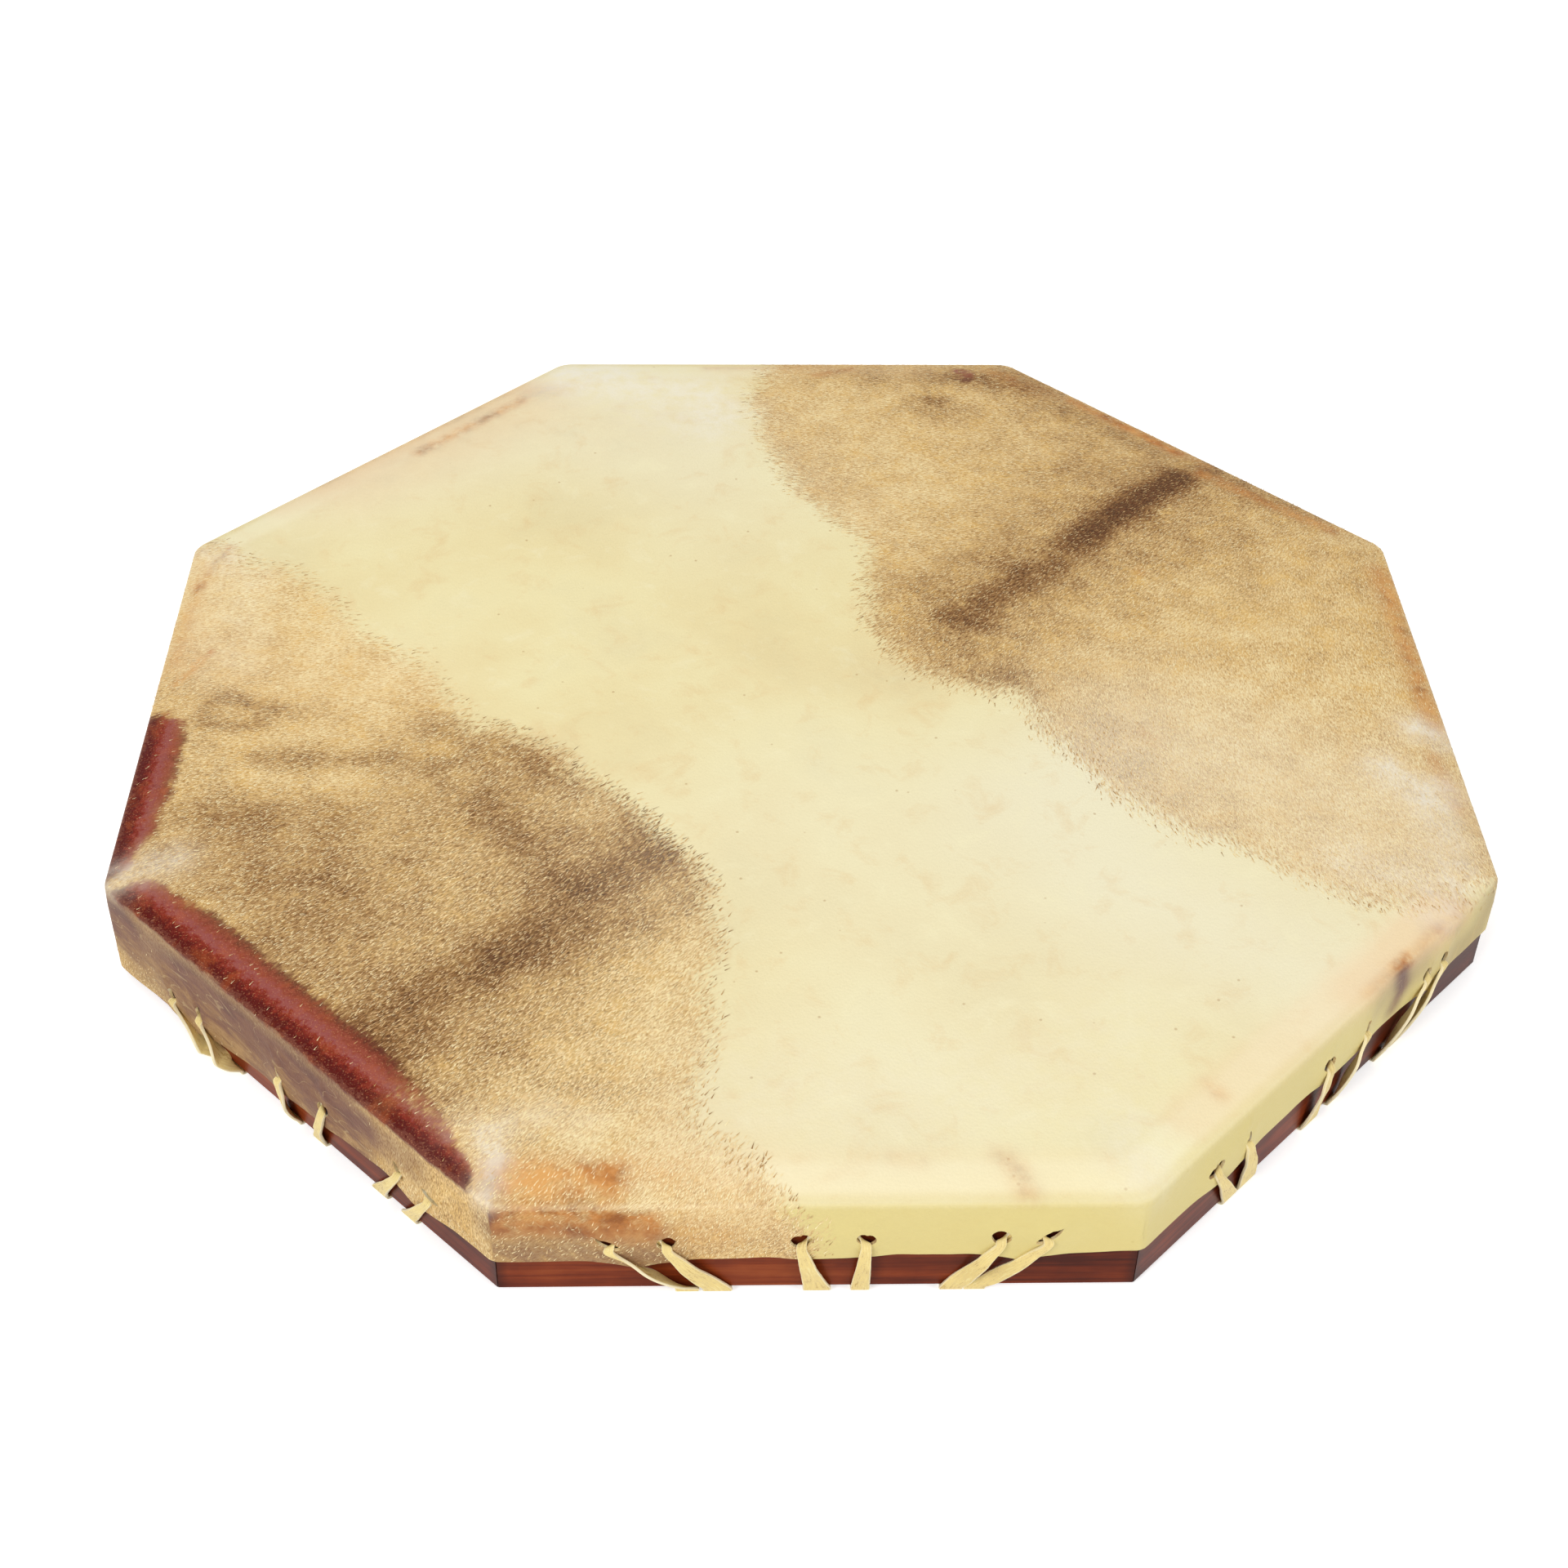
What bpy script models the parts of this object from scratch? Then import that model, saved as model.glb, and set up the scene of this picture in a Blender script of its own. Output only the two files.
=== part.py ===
"""Octagonal frame drum: a mitred wooden frame, a rawhide head and the lacing that holds it.

Metres, +Z up. The drum lies head up, on the laces that run under its frame. The origin is on
the surface it rests on, under the centre of the head, and the front side faces -Y.

On each side a place is given by three values: s along the side, to the right when it is seen
from outside, n outward from the outer face of the boards, and z upward.
"""

from math import atan, cos, exp, pi, radians, sin, tan

import bmesh
import bpy
from mathutils import Matrix, Vector

# Frame of eight boards
FRAME_WIDTH = 0.457         # across the flats of the boards, 18 inches
BOARD_THICKNESS = 0.019
BOARD_HEIGHT = 0.040
BEVEL_DROP = 0.0026         # the top slopes down by this much from the inner to the outer edge
INNER_EDGE_RADIUS = 0.0015  # the edge that the head bears on
OUTER_EDGE_RADIUS = 0.0020  # the edge that the hide folds over
LOWER_ARRIS = 0.0008

# Slip of wood across each mitre
SPLINE_THICKNESS = 0.003
SPLINE_REACH = 0.006        # into each of the two boards
SPLINE_HEIGHT = 0.030

# Rawhide head and its skirt
HIDE_THICKNESS = 0.001
HIDE_CORNER_RADIUS = 0.0008  # inside the fold at each corner of the frame
SKIRT_HEIGHT = 0.0157       # from the boards' lower edge up to the trimmed edge of the skirt
LOW_CORNER_HEIGHT = 0.0030  # the same at the corner where the skirt hangs lowest
LOW_CORNER_SHARE = 0.75     # part of that dip which is close to the corner
LOW_CORNER_SPREAD = radians(17)
LOW_SIDE_SPREAD = radians(55)
TONGUE_DROP = 0.0025        # laces pull the edge down between the holes of an outer pair
TONGUE_HALF_WIDTH = 0.009
HOLE_MARGIN = 0.0085        # from the skirt's edge up to the centre of a hole
HOLE_RADIUS = 0.0029

# Places of the lace holes, in three pairs on each side
LEFT_PAIR_INSET = 0.0416    # from the corner of the frame to the middle of the pair
RIGHT_PAIR_INSET = 0.0346
MIDDLE_PAIR_SHIFT = 0.0062  # to the right of the middle of the side
LEFT_PAIR_PITCH = 0.0160
MIDDLE_PAIR_PITCH = 0.0205
RIGHT_PAIR_PITCH = 0.0140
LEFT_PAIR_DRIFT = 0.0190    # how far a pair moves to the middle on its way to the lower edge
MIDDLE_PAIR_DRIFT = -0.0015
RIGHT_PAIR_DRIFT = -0.0155

# Rawhide lace
LACE_THICKNESS = 0.001
LACE_SPREAD = 0.0074        # its width along the frame's lower edge
LACE_NECK = 0.0034          # its width where it is drawn through a hole
LACE_GATHERED = 0.0050      # its width in a bundle
LACE_PULL = 0.0007          # a lace lies this much below the centre of its hole
OUTER_PAIR_SPACE = 0.0016   # between the two laces of an outer pair at the lower edge
MIDDLE_PAIR_SPACE = 0.0050
GATE_SHARE = 0.72           # how far out the pairs still are at the inner edge of the boards
GATE_SPACE = 0.0014
GATHER_DEPTH = 0.080        # from the outer face of the boards to where the bundle is tight

# Bindings of the bundles, and the knot in the middle
BINDING_WALL = 0.001
BINDING_CORNER_RADIUS = 0.0018
BINDING_START = 0.003       # from the tight end of the bundle to the binding
KNOT_RADIUS = 0.020
KNOT_EDGE_RADIUS = 0.003
FLOOR_CLEARANCE = 0.001     # from the surface it rests on up to the bindings

CLEARANCE = 0.0003          # left between pieces that touch

# The maker's hand: each lace end's shift at its hole and at the lower edge, left to right
FRONT_SHIFTS = (
    (0.000, 0.000), (0.001, 0.000), (-0.001, 0.000),
    (-0.002, 0.000), (0.000, 0.000), (0.000, 0.000),
)
FRONT_RIGHT_SHIFTS = (
    (0.000, -0.009), (0.000, -0.009), (0.002, -0.003),
    (0.002, -0.002), (0.000, -0.004), (-0.004, -0.004),
)
FRONT_LEFT_SHIFTS = (
    (0.000, -0.0035), (-0.001, -0.0035), (0.000, -0.001),
    (0.0015, 0.0005), (0.001, 0.001), (0.0015, 0.006),
)

SIDE_NAMES = (
    "front", "front_right", "right", "back_right",
    "back", "back_left", "left", "front_left",
)
SIDE_SHIFTS = (
    FRONT_SHIFTS, FRONT_RIGHT_SHIFTS, FRONT_SHIFTS, FRONT_LEFT_SHIFTS,
    FRONT_RIGHT_SHIFTS, FRONT_SHIFTS, FRONT_LEFT_SHIFTS, FRONT_LEFT_SHIFTS,
)
LOW_CORNER_ANGLE = radians(202.5)   # the corner between the left and front_left sides

# Fineness of round forms
ARC_STEPS = 3
HOLE_STEPS = 10
TWIST_STEPS = 4
KNOT_STEPS = 24

# Values worked out from the sizes above
SIDE_COUNT = len(SIDE_NAMES)
SIDE_ANGLE = 2 * pi / SIDE_COUNT
HALF_CORNER = SIDE_ANGLE / 2
APOTHEM = FRAME_WIDTH / 2
HALF_SIDE = APOTHEM * tan(HALF_CORNER)
BOARD_BOTTOM = LACE_THICKNESS + CLEARANCE
BOARD_TOP = BOARD_BOTTOM + BOARD_HEIGHT
BEVEL = atan(BEVEL_DROP / BOARD_THICKNESS)
STANDOFF = LACE_THICKNESS + 2 * CLEARANCE   # room for a lace between the skirt and the boards
SKIRT_OUTSIDE = STANDOFF + HIDE_THICKNESS
LACE_BEHIND = CLEARANCE + LACE_THICKNESS / 2
LACE_OUTSIDE = SKIRT_OUTSIDE + CLEARANCE + LACE_THICKNESS / 2
BUNDLE_PITCH = LACE_THICKNESS + CLEARANCE
BUNDLE_HALF_WIDTH = 2.5 * BUNDLE_PITCH + LACE_THICKNESS / 2
BINDING_BORE_HALF_WIDTH = BUNDLE_HALF_WIDTH + CLEARANCE
BINDING_BORE_HALF_HEIGHT = LACE_GATHERED / 2 + CLEARANCE
SPOKE_HEIGHT = FLOOR_CLEARANCE + BINDING_WALL + BINDING_BORE_HALF_HEIGHT
KNOT_HALF_HEIGHT = SPOKE_HEIGHT - FLOOR_CLEARANCE
SPOKE_END = KNOT_RADIUS + CLEARANCE - APOTHEM


def side_azimuth(side):
    return -pi / 2 + side * SIDE_ANGLE


def side_frame(side):
    """Outward and rightward directions of a side."""
    azimuth = side_azimuth(side)
    outward = Vector((cos(azimuth), sin(azimuth), 0))
    rightward = Vector((-sin(azimuth), cos(azimuth), 0))
    return outward, rightward


def side_point(side, s, n, z):
    outward, rightward = side_frame(side)
    return outward * (APOTHEM + n) + rightward * s + Vector((0, 0, z))


def profile_arc(centre_n, centre_z, radius, start, end, steps):
    """Points of an arc in the n and z plane, with angles measured from +n towards +z."""
    angles = [start + (end - start) * step / steps for step in range(steps + 1)]
    return [(centre_n + radius * cos(a), centre_z + radius * sin(a)) for a in angles]


def inner_edge_centre():
    return INNER_EDGE_RADIUS - BOARD_THICKNESS, BOARD_TOP - INNER_EDGE_RADIUS


def outer_edge_centre():
    """Centre of the rounding that touches both the sloping top and the outer face."""
    inner_n, inner_z = inner_edge_centre()
    touch_n = inner_n + INNER_EDGE_RADIUS * sin(BEVEL)
    touch_z = inner_z + INNER_EDGE_RADIUS * cos(BEVEL)
    top_z = touch_z - tan(BEVEL) * (-OUTER_EDGE_RADIUS - touch_n)
    return -OUTER_EDGE_RADIUS, top_z - OUTER_EDGE_RADIUS / cos(BEVEL)


def skirt_edge(azimuth):
    """Height of the skirt's trimmed edge, which dips towards one corner of the drum."""
    away = (azimuth - LOW_CORNER_ANGLE + pi) % (2 * pi) - pi
    dip = SKIRT_HEIGHT - LOW_CORNER_HEIGHT
    close = LOW_CORNER_SHARE * exp(-(away / LOW_CORNER_SPREAD) ** 2)
    broad = (1 - LOW_CORNER_SHARE) * exp(-(away / LOW_SIDE_SPREAD) ** 2)
    return BOARD_BOTTOM + SKIRT_HEIGHT - dip * (close + broad)


def skirt_edge_at(side, s):
    return skirt_edge(side_azimuth(side) + atan(s / APOTHEM))


def hole_height(side, s):
    return skirt_edge_at(side, s) + HOLE_MARGIN


def pair_places():
    """Middle, pitch, drift and lower spacing of the three pairs of holes on a side."""
    left = LEFT_PAIR_INSET - HALF_SIDE
    right = HALF_SIDE - RIGHT_PAIR_INSET
    return (
        (left, LEFT_PAIR_PITCH, LEFT_PAIR_DRIFT, LACE_SPREAD + OUTER_PAIR_SPACE),
        (MIDDLE_PAIR_SHIFT, MIDDLE_PAIR_PITCH, MIDDLE_PAIR_DRIFT, LACE_SPREAD + MIDDLE_PAIR_SPACE),
        (right, RIGHT_PAIR_PITCH, RIGHT_PAIR_DRIFT, LACE_SPREAD + OUTER_PAIR_SPACE),
    )


def lace_ends(side):
    """The six lace ends of a side: place of the hole, of the lower edge and of the inner edge."""
    ends = []
    for pair, (middle, pitch, drift, spacing) in enumerate(pair_places()):
        for end, hand in ((0, -0.5), (1, 0.5)):
            hole_shift, edge_shift = SIDE_SHIFTS[side][2 * pair + end]
            hole = middle + hand * pitch + hole_shift
            edge = middle + drift + hand * spacing + edge_shift
            gate_middle = (middle + drift) * GATE_SHARE + edge_shift
            gate = gate_middle + hand * (LACE_GATHERED + GATE_SPACE)
            ends.append((hole, edge, gate))
    return ends


def new_material(name, colour, roughness):
    material = bpy.data.materials.new(name)
    material.use_nodes = True
    shader = material.node_tree.nodes["Principled BSDF"]
    shader.inputs["Base Color"].default_value = (*colour, 1.0)
    shader.inputs["Roughness"].default_value = roughness
    shader.inputs["Metallic"].default_value = 0.0
    return material


def new_object(name, bm, material):
    """Turn a bmesh into a named object with its own mesh and a material."""
    mesh = bpy.data.meshes.new(name)
    bm.to_mesh(mesh)
    bm.free()
    if material is not None:
        mesh.materials.append(material)
    body = bpy.data.objects.new(name, mesh)
    bpy.context.scene.collection.objects.link(body)
    return body


def smooth_with_sharp_edges(body, limit=radians(30)):
    body.data.shade_smooth()
    body.data.set_sharp_from_angle(angle=limit)


def add_box(bm, low, high, matrix):
    """A closed box between two corners, placed by a matrix."""
    size = [high[axis] - low[axis] for axis in range(3)]
    centre = [(high[axis] + low[axis]) / 2 for axis in range(3)]
    scale = Matrix.Diagonal((*size, 1))
    bmesh.ops.create_cube(bm, size=1, matrix=matrix @ Matrix.Translation(centre) @ scale)


def close_sections(bm, sections):
    """Skin a row of four-cornered sections into one closed bar."""
    rows = [[bm.verts.new(corner) for corner in section] for section in sections]
    bm.faces.new(rows[0])
    bm.faces.new(reversed(rows[-1]))
    for row, following in zip(rows, rows[1:]):
        for corner in range(4):
            beside = (corner + 1) % 4
            bm.faces.new((row[corner], row[beside], following[beside], following[corner]))
    bmesh.ops.recalc_face_normals(bm, faces=bm.faces)


def hide_cutter(body):
    body.hide_render = True
    body.display_type = "WIRE"


def cut(body, cutter):
    modifier = body.modifiers.new("cut by " + cutter.name, "BOOLEAN")
    modifier.operation = "DIFFERENCE"
    modifier.solver = "EXACT"
    modifier.object = cutter


# Boards and the slips across their mitres


def board_profile():
    """Section of a board, from its lower outer edge up and round to its lower inner edge."""
    inner = -BOARD_THICKNESS
    outer_n, outer_z = outer_edge_centre()
    inner_n, inner_z = inner_edge_centre()
    slope = pi / 2 - BEVEL
    profile = [(-LOWER_ARRIS, BOARD_BOTTOM), (0, BOARD_BOTTOM + LOWER_ARRIS)]
    profile += profile_arc(outer_n, outer_z, OUTER_EDGE_RADIUS, 0, slope, ARC_STEPS)
    profile += profile_arc(inner_n, inner_z, INNER_EDGE_RADIUS, slope, pi, ARC_STEPS)
    profile += [(inner, BOARD_BOTTOM + LOWER_ARRIS), (inner + LOWER_ARRIS, BOARD_BOTTOM)]
    return profile


def spline_frame(corner):
    """Matrix of the mitre after a side: x along the joint's faces, y across them."""
    azimuth = side_azimuth(corner) + HALF_CORNER
    middle = (APOTHEM - BOARD_THICKNESS / 2) / cos(HALF_CORNER)
    turn = Matrix.Rotation(azimuth, 4, "Z")
    return turn @ Matrix.Translation((middle, 0, BOARD_BOTTOM))


def make_spline(corner, material):
    name = "spline_" + SIDE_NAMES[corner] + "_to_" + SIDE_NAMES[(corner + 1) % SIDE_COUNT]
    half = SPLINE_THICKNESS / 2
    bm = bmesh.new()
    add_box(bm, (-half, -SPLINE_REACH, 0), (half, SPLINE_REACH, SPLINE_HEIGHT), spline_frame(corner))
    return new_object(name, bm, material)


def make_groove(corner):
    """Cutter for the groove that holds a spline, open at the lower edge of the boards."""
    half = SPLINE_THICKNESS / 2 + CLEARANCE
    reach = SPLINE_REACH + CLEARANCE
    below = -2 * CLEARANCE
    top = SPLINE_HEIGHT + CLEARANCE
    bm = bmesh.new()
    add_box(bm, (-half, -reach, below), (half, reach, top), spline_frame(corner))
    groove = new_object("groove_" + SIDE_NAMES[corner], bm, None)
    hide_cutter(groove)
    return groove


def make_board(side, material):
    """A board with both ends mitred, each half a clearance short of the joint."""
    profile = board_profile()
    bm = bmesh.new()
    rows = []
    for hand in (-1, 1):
        row = []
        for n, z in profile:
            s = hand * ((APOTHEM + n) * tan(HALF_CORNER) - CLEARANCE / 2 / cos(HALF_CORNER))
            row.append(bm.verts.new(side_point(side, s, n, z)))
        rows.append(row)
    bm.faces.new(rows[0])
    bm.faces.new(reversed(rows[1]))
    for index in range(len(profile)):
        beside = (index + 1) % len(profile)
        bm.faces.new((rows[0][index], rows[0][beside], rows[1][beside], rows[1][index]))
    bmesh.ops.recalc_face_normals(bm, faces=bm.faces)
    return new_object("board_" + SIDE_NAMES[side], bm, material)


# Rawhide head


def hide_profile(depth):
    """Rings of the hide, as n and z, at a depth above the boards: from the head to the skirt."""
    outer_n, outer_z = outer_edge_centre()
    inner_n, inner_z = inner_edge_centre()
    slope = pi / 2 - BEVEL
    rings = profile_arc(inner_n, inner_z, INNER_EDGE_RADIUS + depth, pi / 2, slope, 1)
    rings += profile_arc(outer_n, outer_z, OUTER_EDGE_RADIUS + depth, slope, 0, ARC_STEPS)
    return rings


def flare_height():
    """Where the skirt has left the boards far enough for a lace to pass behind it."""
    return BOARD_BOTTOM + SKIRT_HEIGHT + HOLE_MARGIN + 1.5 * HOLE_RADIUS


def corner_points(corner, n, radius):
    """Three points of the rounded corner that follows a side, as x and y."""
    azimuth = side_azimuth(corner) + HALF_CORNER
    reach = (APOTHEM + n - radius) / cos(HALF_CORNER)
    points = []
    for turn in (-HALF_CORNER, 0, HALF_CORNER):
        x = reach * cos(azimuth) + radius * cos(azimuth + turn)
        y = reach * sin(azimuth) + radius * sin(azimuth + turn)
        points.append((x, y, azimuth + turn * radius / reach))
    return points


def ring_points(n, z, radius):
    """A level ring round the drum, three points to a corner."""
    points = []
    for corner in range(SIDE_COUNT):
        points += [Vector((x, y, z)) for x, y, azimuth in corner_points(corner, n, radius)]
    return points


def edge_points(side, n):
    """Points of the trimmed edge along a side, between its two rounded corners."""
    points = []
    for pair, (middle, pitch, drift, spacing) in enumerate(pair_places()):
        drop = 0 if pair == 1 else TONGUE_DROP
        for s, dip in ((middle - TONGUE_HALF_WIDTH, 0), (middle, drop), (middle + TONGUE_HALF_WIDTH, 0)):
            points.append(side_point(side, s, n, skirt_edge_at(side, s) - dip))
    return points


def add_hide_surface(bm, depth, flare_n, radius):
    """One face of the hide. Returns the vertices of its trimmed edge, in order round the drum."""
    rings = [ring_points(n, z, radius) for n, z in hide_profile(depth)]
    rings.append(ring_points(flare_n, flare_height(), radius))
    rows = [[bm.verts.new(point) for point in ring] for ring in rings]
    bm.faces.new(rows[0])
    for upper, lower in zip(rows, rows[1:]):
        for index in range(len(upper)):
            beside = (index + 1) % len(upper)
            bm.faces.new((upper[index], lower[index], lower[beside], upper[beside]))
    flare = rows[-1]
    edge = []
    corners = []
    for corner in range(SIDE_COUNT):
        low = [
            bm.verts.new((x, y, skirt_edge(azimuth)))
            for x, y, azimuth in corner_points(corner, flare_n, radius)
        ]
        corners.append(low)
    for side in range(SIDE_COUNT):
        before = (side - 1) % SIDE_COUNT
        low = [bm.verts.new(point) for point in edge_points(side, flare_n)]
        start = flare[3 * before + 2]
        end = flare[3 * side]
        bm.faces.new([end, start, corners[before][2]] + low + [corners[side][0]])
        for step in (0, 1):
            above = (flare[3 * side + step], flare[3 * side + step + 1])
            below = (corners[side][step], corners[side][step + 1])
            bm.faces.new((above[0], below[0], below[1], above[1]))
        edge += low + corners[side]
    return edge


def make_head(material):
    """The hide: a flat head, folded over the boards' bevel into a skirt with a trimmed edge."""
    bm = bmesh.new()
    top = add_hide_surface(
        bm, CLEARANCE + HIDE_THICKNESS, SKIRT_OUTSIDE, HIDE_CORNER_RADIUS + HIDE_THICKNESS)
    under = add_hide_surface(bm, CLEARANCE, STANDOFF, HIDE_CORNER_RADIUS)
    for index in range(len(top)):
        beside = (index + 1) % len(top)
        bm.faces.new((top[index], under[index], under[beside], top[beside]))
    bmesh.ops.recalc_face_normals(bm, faces=bm.faces)
    head = new_object("rawhide_head", bm, material)
    punch = make_punch()
    cut(head, punch)
    smooth_with_sharp_edges(head)
    return head


def make_punch():
    """Cutter for all the lace holes, each square to its side."""
    bm = bmesh.new()
    for side in range(SIDE_COUNT):
        turn = Matrix.Rotation(side_azimuth(side), 4, "Z") @ Matrix.Rotation(pi / 2, 4, "Y")
        for hole, edge, gate in lace_ends(side):
            centre = side_point(side, hole, STANDOFF + HIDE_THICKNESS / 2, hole_height(side, hole))
            bmesh.ops.create_cone(
                bm, cap_ends=True, segments=HOLE_STEPS, radius1=HOLE_RADIUS, radius2=HOLE_RADIUS,
                depth=2 * HIDE_THICKNESS, matrix=Matrix.Translation(centre) @ turn)
    punch = new_object("hole_punch", bm, None)
    hide_cutter(punch)
    return punch


# Lacing


def lace_section(side, centre, across, outer):
    """Four corners of a lace at a place. across is half its width, outer half its thickness."""
    corners = []
    for a, b in ((1, 1), (-1, 1), (-1, -1), (1, -1)):
        s, n, z = [centre[i] + a * across[i] + b * outer[i] for i in range(3)]
        corners.append(side_point(side, s, n, z))
    return corners


def lace_end(side, order, hole, edge, gate, hand):
    """Sections of one lace end, from the knot out to the skirt and in through its hole.

    order is the end's place in the bundle, and hand is +1 where the other hole of its pair
    lies to the right. Each section is a centre, half a width and half a thickness, as s, n, z.
    """
    half = LACE_THICKNESS / 2
    wide = LACE_SPREAD / 2
    neck = LACE_NECK / 2
    gathered = LACE_GATHERED / 2
    slot = (order - 2.5) * BUNDLE_PITCH
    gate_n = -BOARD_THICKNESS - LACE_THICKNESS
    hole_z = hole_height(side, hole) - LACE_PULL
    lip_z = skirt_edge_at(side, hole) - TONGUE_DROP - CLEARANCE
    lip_share = (hole_z - lip_z) / (hole_z - half)
    lip_s = hole + (edge - hole) * lip_share
    lip_wide = neck + (wide - neck) * lip_share

    sections = [((slot, SPOKE_END, SPOKE_HEIGHT), (0, 0, gathered), (half, 0, 0))]
    for step in range(TWIST_STEPS + 1):
        share = step / TWIST_STEPS
        turn = share * pi / 2
        centre = (
            slot + (gate - slot) * share,
            -GATHER_DEPTH + (gate_n + GATHER_DEPTH) * share,
            SPOKE_HEIGHT + (half - SPOKE_HEIGHT) * share,
        )
        across = (gathered * sin(turn), 0, gathered * cos(turn))
        outer = (half * cos(turn), 0, -half * sin(turn))
        sections.append((centre, across, outer))
    sections += [
        ((edge, LACE_BEHIND, half), (wide, 0, 0), (0, half, -half)),
        ((lip_s, LACE_OUTSIDE, lip_z), (lip_wide, 0, 0), (0, half, 0)),
        ((hole, LACE_OUTSIDE, hole_z), (neck, 0, 0), (0, half, half)),
        ((hole, LACE_BEHIND, hole_z), (0, 0, hand * neck), (-hand * half, -half, 0)),
    ]
    return sections


def make_lace(side, pair, ends, material):
    """One thong: out from the knot, through both holes of a pair, and back to the knot."""
    first = lace_end(side, 2 * pair, *ends[2 * pair], 1)
    second = lace_end(side, 2 * pair + 1, *ends[2 * pair + 1], -1)
    back = [(centre, [-value for value in across], outer) for centre, across, outer in second]
    sections = [lace_section(side, *section) for section in first + back[::-1]]
    bm = bmesh.new()
    close_sections(bm, sections)
    return new_object("lace_" + SIDE_NAMES[side] + "_" + str(pair + 1), bm, material)


# Bindings and knot


def rounded_oblong(half_width, half_height, radius):
    """Points of an oblong with rounded corners, in the s and z plane."""
    points = []
    for quarter, (a, b) in enumerate(((1, 1), (-1, 1), (-1, -1), (1, -1))):
        centre_s = a * (half_width - radius)
        centre_z = b * (half_height - radius)
        start = quarter * pi / 2
        points += profile_arc(centre_s, centre_z, radius, start, start + pi / 2, ARC_STEPS)
    return points


def make_binding(side, material):
    """A tight sleeve of wound lace round one bundle, open at both ends."""
    start = -GATHER_DEPTH - BINDING_START
    bore = rounded_oblong(BINDING_BORE_HALF_WIDTH, BINDING_BORE_HALF_HEIGHT, CLEARANCE)
    skin = rounded_oblong(
        BINDING_BORE_HALF_WIDTH + BINDING_WALL, BINDING_BORE_HALF_HEIGHT + BINDING_WALL,
        BINDING_CORNER_RADIUS)
    bm = bmesh.new()
    rows = []
    for outline, n in ((skin, start), (skin, SPOKE_END), (bore, SPOKE_END), (bore, start)):
        rows.append([bm.verts.new(side_point(side, s, n, SPOKE_HEIGHT + z)) for s, z in outline])
    for row, following in zip(rows, rows[1:] + rows[:1]):
        for index in range(len(row)):
            beside = (index + 1) % len(row)
            bm.faces.new((row[index], row[beside], following[beside], following[index]))
    bmesh.ops.recalc_face_normals(bm, faces=bm.faces)
    binding = new_object("binding_" + SIDE_NAMES[side], bm, material)
    smooth_with_sharp_edges(binding)
    return binding


def make_knot(material):
    """The knot where all the bundles meet: a flat round with a full edge."""
    flat = KNOT_RADIUS - KNOT_EDGE_RADIUS
    rise = KNOT_HALF_HEIGHT - KNOT_EDGE_RADIUS
    profile = profile_arc(flat, -rise, KNOT_EDGE_RADIUS, -pi / 2, 0, ARC_STEPS)
    profile += profile_arc(flat, rise, KNOT_EDGE_RADIUS, 0, pi / 2, ARC_STEPS)
    bm = bmesh.new()
    rows = []
    for radius, z in profile:
        angles = [2 * pi * step / KNOT_STEPS for step in range(KNOT_STEPS)]
        rows.append([bm.verts.new((radius * cos(a), radius * sin(a), SPOKE_HEIGHT + z)) for a in angles])
    bm.faces.new(reversed(rows[0]))
    bm.faces.new(rows[-1])
    for row, following in zip(rows, rows[1:]):
        for index in range(KNOT_STEPS):
            beside = (index + 1) % KNOT_STEPS
            bm.faces.new((row[index], row[beside], following[beside], following[index]))
    bmesh.ops.recalc_face_normals(bm, faces=bm.faces)
    knot = new_object("centre_knot", bm, material)
    smooth_with_sharp_edges(knot)
    return knot


def main():
    for body in list(bpy.data.objects):
        bpy.data.objects.remove(body, do_unlink=True)

    wood = new_material("stained wood", (0.195, 0.045, 0.018), 0.42)
    slip = new_material("pale wood", (0.42, 0.25, 0.12), 0.6)
    rawhide = new_material("rawhide", (0.84, 0.75, 0.46), 0.5)
    lace = new_material("rawhide lace", (0.76, 0.62, 0.30), 0.6)
    binding = new_material("wound rawhide", (0.70, 0.55, 0.27), 0.6)

    grooves = [make_groove(corner) for corner in range(SIDE_COUNT)]
    for side in range(SIDE_COUNT):
        board = make_board(side, wood)
        cut(board, grooves[side])
        cut(board, grooves[(side - 1) % SIDE_COUNT])
        smooth_with_sharp_edges(board)
        make_spline(side, slip)
    make_head(rawhide)
    for side in range(SIDE_COUNT):
        ends = lace_ends(side)
        for pair in range(3):
            make_lace(side, pair, ends, lace)
        make_binding(side, binding)
    make_knot(binding)


main()
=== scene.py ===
"""Finish of an octagonal frame drum: stained boards, a haired rawhide head, laces and a studio.

On each side of the drum a place is given by s along the side, to the right when it is seen
from outside, n outward from the outer face of the boards, and z upward. Metres throughout.
"""

from math import atan, atan2, cos, exp, pi, radians, sin, tan

import bmesh
import bpy
import numpy as np
from bpy.props import FloatProperty, FloatVectorProperty, IntProperty, PointerProperty
from mathutils import Matrix, Vector, noise
from mathutils.geometry import delaunay_2d_cdt


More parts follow.
